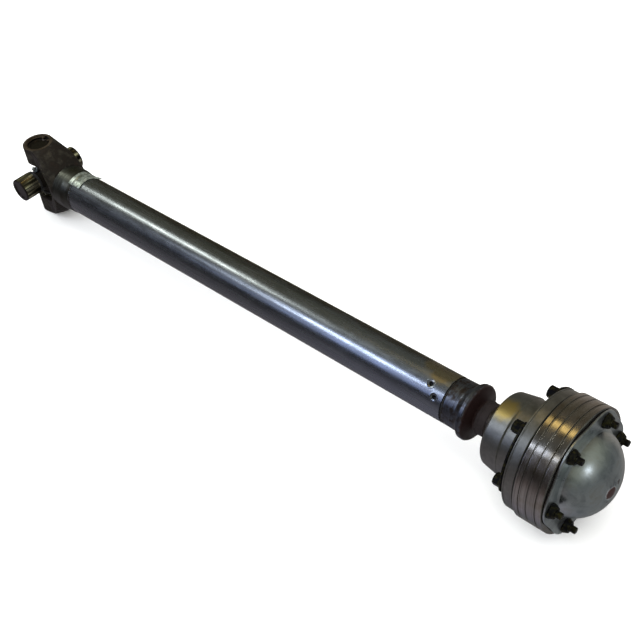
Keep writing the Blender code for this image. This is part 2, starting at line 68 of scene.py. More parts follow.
# ---- surfaces ----
def gridMesh(name, points, closedRows=True):
    # points is rows x columns x 3: neighbours are joined by four-sided faces, columns always close on themselves,
    # and rows either close too or end in a fan to the middle of the last row
    points = np.asarray(points, float)
    if not closedRows:
        first = np.broadcast_to(points[:1].mean(1, keepdims=True), points[:1].shape)
        last = np.broadcast_to(points[-1:].mean(1, keepdims=True), points[-1:].shape)
        points = np.concatenate([first, points, last])
    rows, columns = points.shape[:2]
    down = np.arange(rows if closedRows else rows - 1)[:, None]
    over = np.arange(columns)[None, :]
    nextDown, nextOver = (down + 1) % rows, (over + 1) % columns
    quads = np.stack([down * columns + over, down * columns + nextOver,
                      nextDown * columns + nextOver, nextDown * columns + over], -1).reshape(-1, 4)
    mesh = bpy.data.meshes.new(name)
    mesh.vertices.add(rows * columns)
    mesh.vertices.foreach_set("co", (points * mm).ravel())
    mesh.loops.add(quads.size)
    mesh.loops.foreach_set("vertex_index", quads.ravel().astype(np.int32))
    mesh.polygons.add(len(quads))
    mesh.polygons.foreach_set("loop_start", np.arange(0, quads.size, 4, dtype=np.int32))
    mesh.polygons.foreach_set("loop_total", np.full(len(quads), 4, dtype=np.int32))
    mesh.update(calc_edges=True)
    return closedMesh(mesh)


def closedMesh(mesh):
    # merges doubled points at seams and poles, and turns the faces outwards
    shell = bmesh.new()
    shell.from_mesh(mesh)
    bmesh.ops.remove_doubles(shell, verts=shell.verts, dist=1e-6)
    bmesh.ops.dissolve_degenerate(shell, edges=shell.edges, dist=1e-7)
    bmesh.ops.recalc_face_normals(shell, faces=shell.faces)
    if shell.calc_volume(signed=True) < 0:
        bmesh.ops.reverse_faces(shell, faces=shell.faces)
    shell.to_mesh(mesh)
    shell.free()
    return mesh


bodyOf = {node: body for body, nodes in frame["record"]["behaviour"]["bodies"].items() for node in nodes}


def addPiece(name, mesh, material, slot, *nodes, sharp=32):
    # a finished piece: shaded smooth up to an angle, painted, and riding with the CAD nodes that it replaces
    piece = bpy.data.objects.new(name, mesh)
    bpy.context.scene.collection.objects.link(piece)
    mesh.shade_smooth()
    mesh.set_sharp_from_angle(angle=np.radians(sharp))
    mesh.materials.clear()
    mesh.materials.append(material)
    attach(piece, bodyOf[nodes[0]])
    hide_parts(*nodes)
    return piece


def rounded(corners, steps=5):
    # a closed outline of (x, radius, fillet, lobe): each corner becomes an arc that touches both of its sides,
    # with one more point on each side close by, which keeps flats flat and bands straight when they are shaded
    spots = np.array([corner[:2] for corner in corners], float)
    outline = []
    for index, corner in enumerate(corners):
        here = spots[index]
        lobe = corner[3] if len(corner) > 3 else 0.0
        back = spots[index - 1] - here
        ahead = spots[(index + 1) % len(spots)] - here
        backLength, aheadLength = np.linalg.norm(back), np.linalg.norm(ahead)
        back, ahead = back / backLength, ahead / aheadLength
        half = np.arccos(np.clip(back @ ahead, -1, 1)) / 2
        if corner[2] == 0 or half > 1.5:
            outline.append([[*here, lobe]])
            continue
        cut = min(corner[2] / np.tan(half), 0.42 * min(backLength, aheadLength))
        middle = (back + ahead) / np.linalg.norm(back + ahead)
        centre = here + middle * cut / np.cos(half)
        first, last = here + back * cut - centre, here + ahead * cut - centre
        sweep = np.pi - 2 * half
        part = np.linspace(0, 1, steps + 1)[:, None]
        bend = (np.sin((1 - part) * sweep) * first + np.sin(part * sweep) * last) / np.sin(sweep)
        guard = min(0.3, 0.15 * min(backLength, aheadLength))
        arc = np.vstack([here + back * (cut + guard), centre + bend, here + ahead * (cut + guard)])
        outline.append(np.column_stack([arc, np.full(len(arc), lobe)]))
    return np.vstack(outline)


def refined(outline, stations):
    # adds points where an outline's long straight stretches cross the given x stations
    longest = 1.0
    result = []
    for here, ahead in zip(outline, np.roll(outline, -1, axis=0)):
        result.append(here[None])
        span = ahead[0] - here[0]
        if abs(span) > longest:
            inside = stations[(stations > min(here[0], ahead[0]) + 0.05) & (stations < max(here[0], ahead[0]) - 0.05)]
            inside = np.sort(inside)[::int(np.sign(span))]
            part = ((inside - here[0]) / span)[:, None]
            result.append(here + part * (ahead - here))
    return np.vstack(result)


def ringAngles(count):
    return np.arange(count) * wholeTurn / count


def turned(outline, angles):
    # a surface of revolution about X: x = outline x, y = r cos(angle), z = r sin(angle), where r is the outline's
    # radius plus lobe * (cos(6 (angle - phase)) - 1), which leaves a swell at each bolt
    x, radius, lobe = outline[:, 0:1], outline[:, 1:2], outline[:, 2:3]
    wave = np.cos(joint["bolts"] * (angles - np.radians(joint["phase"]))) - 1
    reach = radius + lobe * joint["lobe"] * wave
    return np.stack([x + 0 * reach, reach * np.cos(angles), reach * np.sin(angles)], -1)


def polar(points):
    # x, radius and angle in degrees of points about the shaft's axis
    radius = np.hypot(points[..., 1], points[..., 2])
    return points[..., 0], radius, np.degrees(np.arctan2(points[..., 2], points[..., 1]))


def ramp(value, start, end):
    # 0 before start, 1 after end, and a smooth step between
    part = np.clip((value - start) / (end - start), 0, 1)
    return part * part * (3 - 2 * part)


def waves(points, length, seed):
    # a soft unevenness between -1 and 1: the mean of eight sine waves that cross in fixed directions
    lot = np.random.default_rng(seed)
    total = 0
    for _ in range(8):
        way = lot.normal(size=3)
        way /= np.linalg.norm(way)
        stretch = length * lot.uniform(0.7, 1.6)
        total = total + np.sin(points @ way * wholeTurn / stretch + lot.uniform(0, wholeTurn))
    return total / 4


def scaleRadius(points, growth):
    # moves points away from the shaft's axis by growth millimetres
    radius = np.hypot(points[..., 1], points[..., 2])
    factor = (radius + growth) / np.maximum(radius, 1e-6)
    points[..., 1] *= factor
    points[..., 2] *= factor
    return points


def aboutTrunnion(points, direction):
    # carries a piece made along +X at the origin to the cross, with its X axis along the given direction
    turn = np.array(Vector((1, 0, 0)).rotation_difference(Vector(direction)).to_matrix())
    return points @ turn.T + np.array([crossX, 0, 0])


def boltPlaces():
    angles = np.radians(joint["phase"]) + ringAngles(joint["bolts"])
    return joint["circle"] * np.cos(angles), joint["circle"] * np.sin(angles)


def drillHoles(piece, radius, low, high):
    # cuts the six bolt holes, from x = low to x = high
    tools = []
    angles = ringAngles(40)
    for y, z in zip(*boltPlaces()):
        hole = np.array([[[x, y + radius * np.cos(a), z + radius * np.sin(a)] for a in angles] for x in (low, high)])
        tool = bpy.data.objects.new("drill", gridMesh("drill", hole, closedRows=False))
        bpy.context.scene.collection.objects.link(tool)
        tools.append(tool)
        cut = piece.modifiers.new("hole", "BOOLEAN")
        cut.object = tool
        cut.solver = "EXACT"
    bpy.context.view_layer.update()
    mesh = bpy.data.meshes.new_from_object(piece.evaluated_get(bpy.context.evaluated_depsgraph_get()))
    piece.modifiers.clear()
    piece.data = mesh
    for tool in tools:
        bpy.data.objects.remove(tool)


def castCopy(name, node, voxel, rounds):
    # a copy of a CAD solid for a forging: merged, rebuilt in even cells and relaxed, so that every edge is rounded
    mesh = frame["nodes"][node].data.copy()
    closedMesh(mesh)
    shape = bpy.data.objects.new(name, mesh)
    bpy.context.scene.collection.objects.link(shape)
    cells = shape.modifiers.new("cells", "REMESH")
    cells.mode = "VOXEL"
    cells.voxel_size = voxel * mm
    relax = shape.modifiers.new("relax", "SMOOTH")
    relax.factor = 0.5
    relax.iterations = rounds
    bpy.context.view_layer.update()
    result = bpy.data.meshes.new_from_object(shape.evaluated_get(bpy.context.evaluated_depsgraph_get()))
    bpy.data.objects.remove(shape)
    result.name = name
    return result


def readPoints(mesh):
    # a mesh's points in millimetres and their normals
    points, normals = np.zeros(len(mesh.vertices) * 3), np.zeros(len(mesh.vertices) * 3)
    mesh.vertices.foreach_get("co", points)
    mesh.vertices.foreach_get("normal", normals)
    return points.reshape(-1, 3) / mm, normals.reshape(-1, 3)


def writePoints(mesh, points):
    mesh.vertices.foreach_set("co", (points * mm).ravel())
    mesh.update()


# ---- materials ----
def hexColor(code):
    # an sRGB hex colour as the linear colour that a shader takes
    channels = np.array([int(code[i:i + 2], 16) for i in (1, 3, 5)]) / 255
    linear = np.where(channels <= 0.04045, channels / 12.92, ((channels + 0.055) / 1.055) ** 2.4)
    return (*linear, 1.0)


def addNode(tree, kind, values={}, links={}, dots=(), **settings):
    # one shader node: settings are its own properties, values and links go to its sockets, dots are a ramp's colours
    node = tree.nodes.new("ShaderNode" + kind)
    for key, value in settings.items():
        setattr(node, key, value)
    for key, value in values.items():
        node.inputs[key].default_value = value
    for key, output in links.items():
        tree.links.new(output, node.inputs[key])
    if dots:
        places = node.color_ramp.elements
        for place, _ in dots[1:-1]:
            places.new(place)
        for element, (place, color) in zip(places, dots):
            element.position = place
            element.color = hexColor(color)
    return node


def startMaterial(name, metallic, roughness):
    # a Principled material that reads Object coordinates
    material = bpy.data.materials.new(name)
    material.use_nodes = True
    tree = material.node_tree
    shader = tree.nodes["Principled BSDF"]
    shader.inputs["Metallic"].default_value = metallic
    shader.inputs["Roughness"].default_value = roughness
    place = addNode(tree, "TexCoord").outputs["Object"]
    return material, tree, shader, place


def grain(size):
    # the noise scale that makes a pattern of the given size in millimetres
    return 1 / (size * mm)


def stretched(tree, place, x, y, z):
    # Object coordinates measured in cells of x, y and z millimetres
    return addNode(tree, "Mapping", values={"Scale": (grain(x), grain(y), grain(z))},
                   links={"Vector": place}).outputs["Vector"]


def tint(tree, base, over, mask):
    # lays a hex colour over a pattern where the mask is white
    return addNode(tree, "MixRGB", values={"Color2": hexColor(over)}, links={"Color1": base, "Fac": mask}).outputs["Color"]


def relief(tree, shader, height, depth, strength=1.0):
    # a bump of the given depth in millimetres
    bump = addNode(tree, "Bump", values={"Strength": strength, "Distance": depth * mm}, links={"Height": height})
    tree.links.new(bump.outputs["Normal"], shader.inputs["Normal"])
    return bump


def patch(tree, place, centre, radius, edge, seed):
    # a ragged spot: white within radius of a point on the piece, where the distance is bent by noise
    away = addNode(tree, "VectorMath", values={1: tuple(c * mm for c in centre)}, links={0: place},
                   operation="DISTANCE").outputs["Value"]
    rough = addNode(tree, "TexNoise", values={"Scale": grain(radius * 0.6), "Detail": 3.0, "W": seed},
                    links={"Vector": place}, noise_dimensions="4D").outputs["Fac"]
    bent = addNode(tree, "Math", values={1: radius * mm * 0.9}, links={0: rough, 2: away},
                   operation="MULTIPLY_ADD").outputs[0]
    return addNode(tree, "MapRange", values={"From Min": radius * mm * (1.45 + edge), "From Max": radius * mm * 1.45},
                   links={"Value": bent}, interpolation_type="SMOOTHSTEP").outputs["Result"]


def turnedSteel(name, dark, light, stain, roughness, ring=0.35):
    # machined steel: fine rings from the lathe's feed, straw and brown oil film in blotches, rings drawn coarser
    # than the real 0.1 mm feed so that they show
    material, tree, shader, place = startMaterial(name, 1.0, roughness)
    rings = addNode(tree, "TexNoise", values={"Scale": 1.0, "Detail": 2.0},
                    links={"Vector": stretched(tree, place, ring, 90, 90)}).outputs["Fac"]
    steel = addNode(tree, "ValToRGB", links={"Fac": rings}, dots=[(0.3, dark), (0.7, light)]).outputs["Color"]
    film = addNode(tree, "TexNoise", values={"Scale": grain(26), "Detail": 4.0, "Roughness": 0.6},
                   links={"Vector": place}).outputs["Fac"]
    mask = addNode(tree, "MapRange", values={"From Min": 0.5, "From Max": 0.72, "To Max": 0.8},
                   links={"Value": film}).outputs["Result"]
    tree.links.new(tint(tree, steel, stain, mask), shader.inputs["Base Color"])
    smear = addNode(tree, "TexNoise", values={"Scale": grain(9), "Detail": 5.0}, links={"Vector": place}).outputs["Fac"]
    rough = addNode(tree, "MapRange", values={"From Min": 0.3, "From Max": 0.7, "To Min": roughness * 0.8,
                                              "To Max": roughness * 1.3}, links={"Value": smear}).outputs["Result"]
    tree.links.new(rough, shader.inputs["Roughness"])
    relief(tree, shader, rings, 0.012)
    return material


def satinCan():
    # the spun can: plated and satin, with a straw patch near the top, partly a passivation stain and partly a painted
    # warm reflection
    tone = dict(dark="#747470", light="#8e8e8a", straw="#a8955e", roughness=0.38)
    material, tree, shader, place = startMaterial("satinCan", 1.0, tone["roughness"])
    cloud = addNode(tree, "TexNoise", values={"Scale": grain(7), "Detail": 6.0, "Roughness": 0.65},
                    links={"Vector": place}).outputs["Fac"]
    color = addNode(tree, "ValToRGB", links={"Fac": cloud}, dots=[(0.3, tone["dark"]), (0.7, tone["light"])])
    # the straw patch is partly a stain and partly a painted warm reflection
    spot = patch(tree, place, (286.5, -6.5, 34.4), 5.6, 1.6, 3)
    tree.links.new(tint(tree, color.outputs["Color"], tone["straw"], spot), shader.inputs["Base Color"])
    fine = addNode(tree, "TexNoise", values={"Scale": grain(0.8), "Detail": 3.0}, links={"Vector": place}).outputs["Fac"]
    relief(tree, shader, fine, 0.04, 0.5)
    return material


def drawnTubeSteel():
    # cold drawn welded tube with an oil film: lengthwise draw marks, brown blotches on its +Y side, and a bluer
    # stretch near the joint end whose golden stains are partly a painted warm reflection; the dark inside the two
    # punch marks is painted shade
    tone = dict(dark="#6c6f72", light="#8b8f93", brownBlotch="#5f5a44", blueTone="#8f96a3", gold="#9a927c", pitShade="#26262a",
                roughness=0.27)
    material, tree, shader, place = startMaterial("drawnTubeSteel", 1.0, tone["roughness"])
    marks = addNode(tree, "TexNoise", values={"Scale": 1.0, "Detail": 3.0},
                    links={"Vector": stretched(tree, place, 120, 1.1, 1.1)}).outputs["Fac"]
    steel = addNode(tree, "ValToRGB", links={"Fac": marks},
                    dots=[(0.3, tone["dark"]), (0.7, tone["light"])]).outputs["Color"]
    along, across, _ = addNode(tree, "SeparateXYZ", links={0: place}).outputs
    # a bluer tone over the first 0.16 m of +X, towards the joint end
    nearJoint = addNode(tree, "MapRange", values={"From Min": 0.0, "From Max": 0.16, "To Max": 0.75},
                        links={"Value": along}).outputs["Result"]
    steel = tint(tree, steel, tone["blueTone"], nearJoint)
    film = addNode(tree, "TexNoise", values={"Scale": 1.0, "Detail": 4.0, "Roughness": 0.6},
                   links={"Vector": stretched(tree, place, 70, 14, 14)}).outputs["Fac"]
    # the brown blotches are kept to the tube's +Y side
    side = addNode(tree, "MapRange", values={"From Min": -0.004, "From Max": 0.012}, links={"Value": across})
    sideBlotches = addNode(tree, "Math", links={0: film, 1: side.outputs["Result"]}, operation="MULTIPLY").outputs[0]
    sideBlotchMask = addNode(tree, "MapRange", values={"From Min": 0.22, "From Max": 0.46, "To Max": 0.9},
                      links={"Value": sideBlotches}).outputs["Result"]
    steel = tint(tree, steel, tone["brownBlotch"], sideBlotchMask)
    # golden stains near the joint end, partly real stains and partly a painted warm reflection
    for centre, radius in (((214, 2, 22), 7), ((222, 7, 21), 5), ((200, 8, 20), 6)):
        steel = tint(tree, steel, tone["gold"], patch(tree, place, centre, radius, 0.9, radius))
    # the two punch marks are painted dark inside: painted shade in their hollows
    for centre in ((210.2, -10.2, 19.2), (218.2, -17.2, 13.4)):
        steel = tint(tree, steel, tone["pitShade"], patch(tree, place, centre, 1.7, 0.4, 2))
    tree.links.new(steel, shader.inputs["Base Color"])
    haze = addNode(tree, "TexNoise", values={"Scale": 1.0, "Detail": 6.0, "Roughness": 0.65},
                   links={"Vector": stretched(tree, place, 24, 5, 5)}).outputs["Fac"]
    rough = addNode(tree, "MapRange", values={"From Min": 0.3, "From Max": 0.72, "To Min": 0.21, "To Max": 0.34},
                    links={"Value": haze}).outputs["Result"]
    tree.links.new(rough, shader.inputs["Roughness"])
    relief(tree, shader, marks, 0.0025)
    return material


def forgedScale():
    # hot forged steel left in its mill scale: brown-black, dull, pitted at 0.5 to 2 mm, with rust in blotches
    tone = dict(scale="#28241f", worn="#47433a", rust="#2f261f", roughness=0.5)
    material, tree, shader, place = startMaterial("forgedScale", 0.75, tone["roughness"])
    blotch = addNode(tree, "TexNoise", values={"Scale": grain(11), "Detail": 6.0, "Roughness": 0.65},
                     links={"Vector": place}).outputs["Fac"]
    color = addNode(tree, "ValToRGB", links={"Fac": blotch},
                    dots=[(0.3, tone["rust"]), (0.5, tone["scale"]), (0.72, tone["worn"])]).outputs["Color"]
    tree.links.new(color, shader.inputs["Base Color"])
    pits = addNode(tree, "TexNoise", values={"Scale": grain(1.6), "Detail": 5.0, "Roughness": 0.6},
                   links={"Vector": place}).outputs["Fac"]
    rough = addNode(tree, "MapRange", values={"From Min": 0.35, "From Max": 0.65, "To Min": 0.42, "To Max": 0.68},
                    links={"Value": pits}).outputs["Result"]
    tree.links.new(rough, shader.inputs["Roughness"])
    relief(tree, shader, pits, 0.18, 0.7)
    return material


def zincPlate():
    # pressed sheet steel with bright zinc plating: silver with a cold cast, satin, dulled by white smudges
    tone = dict(dark="#a0a8aa", light="#c3cacb", smudge="#b1b3ac", roughness=0.3)
    material, tree, shader, place = startMaterial("zincPlate", 1.0, tone["roughness"])
    cloud = addNode(tree, "TexNoise", values={"Scale": grain(14), "Detail": 5.0, "Roughness": 0.6, "Distortion": 0.6},
                    links={"Vector": place}).outputs["Fac"]
    color = addNode(tree, "ValToRGB", links={"Fac": cloud},
                    dots=[(0.3, tone["dark"]), (0.55, tone["light"]), (0.75, tone["smudge"])]).outputs["Color"]
    fine = addNode(tree, "TexNoise", values={"Scale": grain(1.2), "Detail": 3.0}, links={"Vector": place}).outputs["Fac"]
    rough = addNode(tree, "MapRange", values={"From Min": 0.3, "From Max": 0.7, "To Min": 0.26, "To Max": 0.38},
                    links={"Value": cloud}).outputs["Result"]
    tree.links.new(rough, shader.inputs["Roughness"])
    relief(tree, shader, fine, 0.02, 0.5)
    return material, tree, shader, place, color


def plainZinc():
    material, tree, shader, place, color = zincPlate()
    tree.links.new(color, shader.inputs["Base Color"])
    return material


def markedZinc():
    # the dome's plating, with the remains of a red paint mark and a dark scuff near its tip
    mark = dict(spot=(385.6, -6.4, 2.4), radius=4.8, paint="#27120f", scuffSpot=(385.4, 3.8, 6.6), scuffRadius=2.0,
                scuff="#1f1b1a")
    material, tree, shader, place, color = zincPlate()
    material.name = "markedZinc"
    metal = addNode(tree, "Value").outputs[0]
    metal.default_value = 1.0
    for spot, radius, code in ((mark["spot"], mark["radius"], mark["paint"]),
                               (mark["scuffSpot"], mark["scuffRadius"], mark["scuff"])):
        mask = patch(tree, place, spot, radius, 0.35, radius)
        color = tint(tree, color, code, mask)
        metal = addNode(tree, "Math", links={0: metal, 1: mask}, operation="SUBTRACT", use_clamp=True).outputs[0]
    tree.links.new(color, shader.inputs["Base Color"])
    tree.links.new(metal, shader.inputs["Metallic"])
    return material


def coatedStrip():
    # a zinc flake coated steel strip: pale grey-green, satin, with brown oil smears
    tone = dict(base="#8a938a", light="#c6cdc4", smear="#4a4136", roughness=0.36)
    material, tree, shader, place = startMaterial("coatedStrip", 0.85, tone["roughness"])
    cloud = addNode(tree, "TexNoise", values={"Scale": grain(5), "Detail": 5.0, "Roughness": 0.65, "Distortion": 0.8},
                    links={"Vector": place}).outputs["Fac"]
    color = addNode(tree, "ValToRGB", links={"Fac": cloud},
                    dots=[(0.28, tone["smear"]), (0.45, tone["base"]), (0.62, tone["light"])]).outputs["Color"]
    tree.links.new(color, shader.inputs["Base Color"])
    relief(tree, shader, cloud, 0.1, 0.6)
    return material


def collarSteel():
    # a machined forging with a blue-black heat colour, its end face and edge turning to red-brown rust
    tone = dict(dark="#45444a", sheen="#6c727c", blotch="#3b332e", rust="#2c1e1c", roughness=0.32)
    material, tree, shader, place = startMaterial("collarSteel", 1.0, tone["roughness"])
    rings = addNode(tree, "TexNoise", values={"Scale": 1.0, "Detail": 3.0},
                    links={"Vector": stretched(tree, place, 0.5, 60, 60)}).outputs["Fac"]
    steel = addNode(tree, "ValToRGB", links={"Fac": rings},
                    dots=[(0.3, tone["dark"]), (0.75, tone["sheen"])]).outputs["Color"]
    blotch = addNode(tree, "TexNoise", values={"Scale": grain(6), "Detail": 5.0}, links={"Vector": place}).outputs["Fac"]
    oxide = addNode(tree, "MapRange", values={"From Min": 0.48, "From Max": 0.6, "To Max": 0.9}, links={"Value": blotch})
    steel = tint(tree, steel, tone["blotch"], oxide.outputs["Result"])
    along = addNode(tree, "SeparateXYZ", links={0: place}).outputs["X"]
    ragged = addNode(tree, "Math", values={1: 0.005}, links={0: blotch, 2: along}, operation="MULTIPLY_ADD").outputs[0]
    face = addNode(tree, "MapRange", values={"From Min": 0.2530, "From Max": 0.2545}, links={"Value": ragged})
    tree.links.new(tint(tree, steel, tone["rust"], face.outputs["Result"]), shader.inputs["Base Color"])
    metal = addNode(tree, "MapRange", values={"To Min": 1.0, "To Max": 0.6}, links={"Value": face.outputs["Result"]})
    tree.links.new(metal.outputs["Result"], shader.inputs["Metallic"])
    rough = addNode(tree, "MapRange", values={"From Min": 0.3, "From Max": 0.7, "To Min": 0.28, "To Max": 0.5},
                    links={"Value": blotch}).outputs["Result"]
    tree.links.new(rough, shader.inputs["Roughness"])
    relief(tree, shader, rings, 0.02)
    return material


def groundBearingSteel():
    # a drawn and ground bearing cap under oil: dark steel with straw streaks along the trunnion, grinding streaks whose
    # palest, near-white tone is a painted highlight
    tone = dict(dark="#24211e", mid="#8a8468", light="#f0eaca", end="#3b3531", roughness=0.24)
    material, tree, shader, place = startMaterial("groundBearingSteel", 1.0, tone["roughness"])
    streaks = addNode(tree, "TexNoise", values={"Scale": 1.0, "Detail": 2.0},
                      links={"Vector": stretched(tree, place, 3.2, 60, 3.2)}).outputs["Fac"]
    # the near-white streak tone is a painted highlight on the grinding streaks
    color = addNode(tree, "ValToRGB", links={"Fac": streaks},
                    dots=[(0.36, tone["dark"]), (0.46, tone["mid"]), (0.52, tone["dark"]), (0.6, tone["light"])])
    reach = addNode(tree, "VectorMath", links={0: place}, operation="ABSOLUTE").outputs["Vector"]
    _, across, upward = addNode(tree, "SeparateXYZ", links={0: reach}).outputs
    furthest = addNode(tree, "Math", links={0: across, 1: upward}, operation="MAXIMUM").outputs[0]
    face = addNode(tree, "MapRange", values={"From Min": 0.0392, "From Max": 0.0395}, links={"Value": furthest})
    tree.links.new(tint(tree, color.outputs["Color"], tone["end"], face.outputs["Result"]), shader.inputs["Base Color"])
    relief(tree, shader, streaks, 0.03)
    return material


def mouldedRubber(name, code, roughness=0.6):
    # moulded rubber: matt, with a faint bloom and a fine pebble
    material, tree, shader, place = startMaterial(name, 0.0, roughness)
    bloom = addNode(tree, "TexNoise", values={"Scale": grain(7), "Detail": 5.0}, links={"Vector": place}).outputs["Fac"]
    base, dusty = hexColor(code), tuple(min(1, c * 2.2 + 0.004) for c in hexColor(code)[:3]) + (1.0,)
    color = addNode(tree, "MixRGB", values={"Color1": base, "Color2": dusty}, links={"Fac": bloom}).outputs["Color"]
    tree.links.new(color, shader.inputs["Base Color"])
    pebble = addNode(tree, "TexNoise", values={"Scale": grain(0.9), "Detail": 2.0}, links={"Vector": place})
    relief(tree, shader, pebble.outputs["Fac"], 0.06, 0.6)
    return material


def blackOxide():
    # blackened steel with a film of oil: near black with olive brown patches, partly where the finish has rubbed and
    # partly a painted olive glint
    tone = dict(black="#1b1b1d", rubbedGlint="#403e22", roughness=0.36)
    material, tree, shader, place = startMaterial("blackOxide", 0.9, tone["roughness"])
    wear = addNode(tree, "TexNoise", values={"Scale": grain(3), "Detail": 5.0}, links={"Vector": place}).outputs["Fac"]
    # the olive tone is partly rubbed finish and partly a painted olive glint
    color = addNode(tree, "ValToRGB", links={"Fac": wear},
                    dots=[(0.45, tone["black"]), (0.72, tone["rubbedGlint"])]).outputs["Color"]
    tree.links.new(color, shader.inputs["Base Color"])
    relief(tree, shader, wear, 0.05, 0.5)
    return material


def springSteel():
    # phosphated spring steel: dark grey and dry
    material, tree, shader, place = startMaterial("springSteel", 0.9, 0.45)
    wear = addNode(tree, "TexNoise", values={"Scale": grain(2.5), "Detail": 4.0}, links={"Vector": place}).outputs["Fac"]
    color = addNode(tree, "ValToRGB", links={"Fac": wear}, dots=[(0.35, "#2d2926"), (0.7, "#4b443d")]).outputs["Color"]
    tree.links.new(color, shader.inputs["Base Color"])
    relief(tree, shader, wear, 0.04, 0.5)
    return material


def weldBead():
    # a bare weld: blue and brown heat colours in bands over a dull bead
    material, tree, shader, place = startMaterial("weldBead", 0.9, 0.42)
    heat = addNode(tree, "TexNoise", values={"Scale": grain(5), "Detail": 3.0}, links={"Vector": place}).outputs["Fac"]
    color = addNode(tree, "ValToRGB", links={"Fac": heat},
                    dots=[(0.3, "#2c2a2b"), (0.5, "#43403c"), (0.7, "#4c5157")]).outputs["Color"]
    tree.links.new(color, shader.inputs["Base Color"])
    relief(tree, shader, heat, 0.05, 0.6)
    return material


def gasketPaper():
    # fibre gasket soaked with oil: dark brown and matt
    material, tree, shader, place = startMaterial("gasketPaper", 0.0, 0.75)
    fibre = addNode(tree, "TexNoise", values={"Scale": grain(1.5), "Detail": 4.0}, links={"Vector": place}).outputs["Fac"]
    color = addNode(tree, "ValToRGB", links={"Fac": fibre}, dots=[(0.3, "#15120f"), (0.7, "#2b251f")]).outputs["Color"]
    tree.links.new(color, shader.inputs["Base Color"])
    relief(tree, shader, fibre, 0.05)
    return material


paint = dict(
    tube=drawnTubeSteel(), forged=forgedScale(), zinc=plainZinc(), dome=markedZinc(), strip=coatedStrip(),
    collar=collarSteel(), cap=groundBearingSteel(), oxide=blackOxide(), spring=springSteel(), weld=weldBead(),
    paper=gasketPaper(), boot=mouldedRubber("bootRubber", "#140908", 0.75), seal=mouldedRubber("sealRubber", "#121111"),
    race=turnedSteel("turnedSteel", "#85827e", "#b2afab", "#7c705a", 0.2),
    can=satinCan(),
    hub=turnedSteel("turnedHubSteel", "#45453f", "#5f615a", "#3a352b", 0.34, ring=0.6),
    ear=turnedSteel("turnedEarFace", "#5b5043", "#74675a", "#443a30", 0.42, ring=60),
    ground=turnedSteel("groundSteel", "#a5a5a3", "#c2c2c0", "#8d8877", 0.16, ring=4))
print("materials made")


# ---- shaft ----
def makeTube():
    # a pipe on a grid of stations and angles: its outside is the drawn radius plus a faint ripple, less one bell
    # curve for each punch mark and dent, which throws up a low rim
    tube = dict(wall=2.1, ripple=0.012, fine=(204, 224), marks=[(210.2, 118, 2.2, 1.5), (218.2, 142, 2.1, 1.5)],
                dent=(-21, 118, 13, 0.10))
    low, high = boxMm("shaft_tube")
    radius = high[1]
    outside = np.concatenate([[low[0] + 0.01, low[0] + 0.5], np.arange(low[0] + 3, tube["fine"][0], 3),
                              np.arange(*tube["fine"], 0.3), [high[0] - 0.5, high[0] - 0.01]])
    inside = np.array([high[0], high[0] - 0.5, low[0] + 0.5, low[0]])
    outline = np.column_stack([np.concatenate([outside, inside]),
                               np.concatenate([0 * outside + radius, 0 * inside + radius - tube["wall"]]),
                               np.zeros(len(outside) + len(inside))])
    angles = np.radians(np.concatenate([np.arange(110, 150, 0.5), np.arange(150, 470, 2)]))
    points = turned(outline, angles)
    shell = points[:len(outside)]
    along, _, turn = polar(shell)
    growth = tube["ripple"] * waves(shell, 55, 3)
    for x, angle, size, depth in tube["marks"]:
        away = np.hypot(along - x, np.radians(turn - angle) * radius)
        growth = growth - depth * np.exp(-(away / size) ** 2) + 0.12 * np.exp(-((away - 1.8 * size) / 0.6) ** 2)
    x, angle, size, depth = tube["dent"]
    growth -= depth * np.exp(-((along - x) / size) ** 2 - ((turn - angle) / 14) ** 2)
    points[:len(outside)] = scaleRadius(shell, growth)
    addPiece("shaftTube", gridMesh("shaftTube", points), paint["tube"], "tube_steel", "shaft_tube", sharp=40)


def makeYoke():
    # the forging is the CAD fork relaxed to a cast skin, roughened by two sizes of waves, with a thin flash line
    # where the two dies met; the turned hub is a lathe piece over it, and each ear has a turned ring round its bore
    yoke = dict(voxel=0.7, rounds=9, flash=0.35, flashWidth=0.7, rough=0.10, fine=0.05, hubFrom=-326.0, pull=0.9)
    mesh = castCopy("yokeForging", "tube_yoke", yoke["voxel"], yoke["rounds"])
    points, normals = readPoints(mesh)
    radius = np.hypot(points[:, 1], points[:, 2])
    swell = yoke["rough"] * waves(points, 12, 5) + yoke["fine"] * waves(points, 4, 6)
    outer = ramp(radius, 16, 20) * (1 - ramp(np.abs(points[:, 2]), 42.6, 43.2))
    line = yoke["flash"] * np.exp(-(points[:, 1] / yoke["flashWidth"]) ** 2) * ramp(-points[:, 0], 329, 332)
    points += normals * (outer * (swell + line))[:, None]
    under = yoke["pull"] * ramp(points[:, 0], yoke["hubFrom"] - 1, yoke["hubFrom"] + 0.6) * ramp(radius, 20.5, 22)
    points = scaleRadius(points, -under)
    points[:, 0] = np.maximum(points[:, 0], boxMm("tube_yoke")[0][0])    # the flash stays inside the part's length
    writePoints(mesh, points)
    addPiece("yokeForging", mesh, paint["forged"], "forged_black", "tube_yoke", sharp=50)

    hub = [(-328.4, 19.6, 0), (-328.4, 22.6, 0.5), (-327.2, 24.4, 1.3), (-312.8, 24.2, 4), (-304.2, 22.9, 1.6),
           (-301.0, 22.7, 0.6), (-301.0, 19.6, 0)]
    outline = refined(rounded(hub, 8), np.arange(-328, -301, 0.8))
    skin = turned(outline, ringAngles(180))
    skin = scaleRadius(skin, 0.02 * waves(skin, 9, 8))
    addPiece("yokeHub", gridMesh("yokeHub", skin), paint["hub"], "forged_black", "tube_yoke", sharp=45)

    ring = [(42.7, 13.9, 0.1), (43.68, 13.9, 0.4), (43.68, 17.1, 0.3), (42.7, 17.1, 0.1)]
    for side, label in ((1, "Upper"), (-1, "Lower")):
        skin = aboutTrunnion(turned(rounded(ring), ringAngles(120)), (0, 0, side))
        addPiece("earRing" + label, gridMesh("earRing", skin), paint["ear"], "forged_black", "tube_yoke")


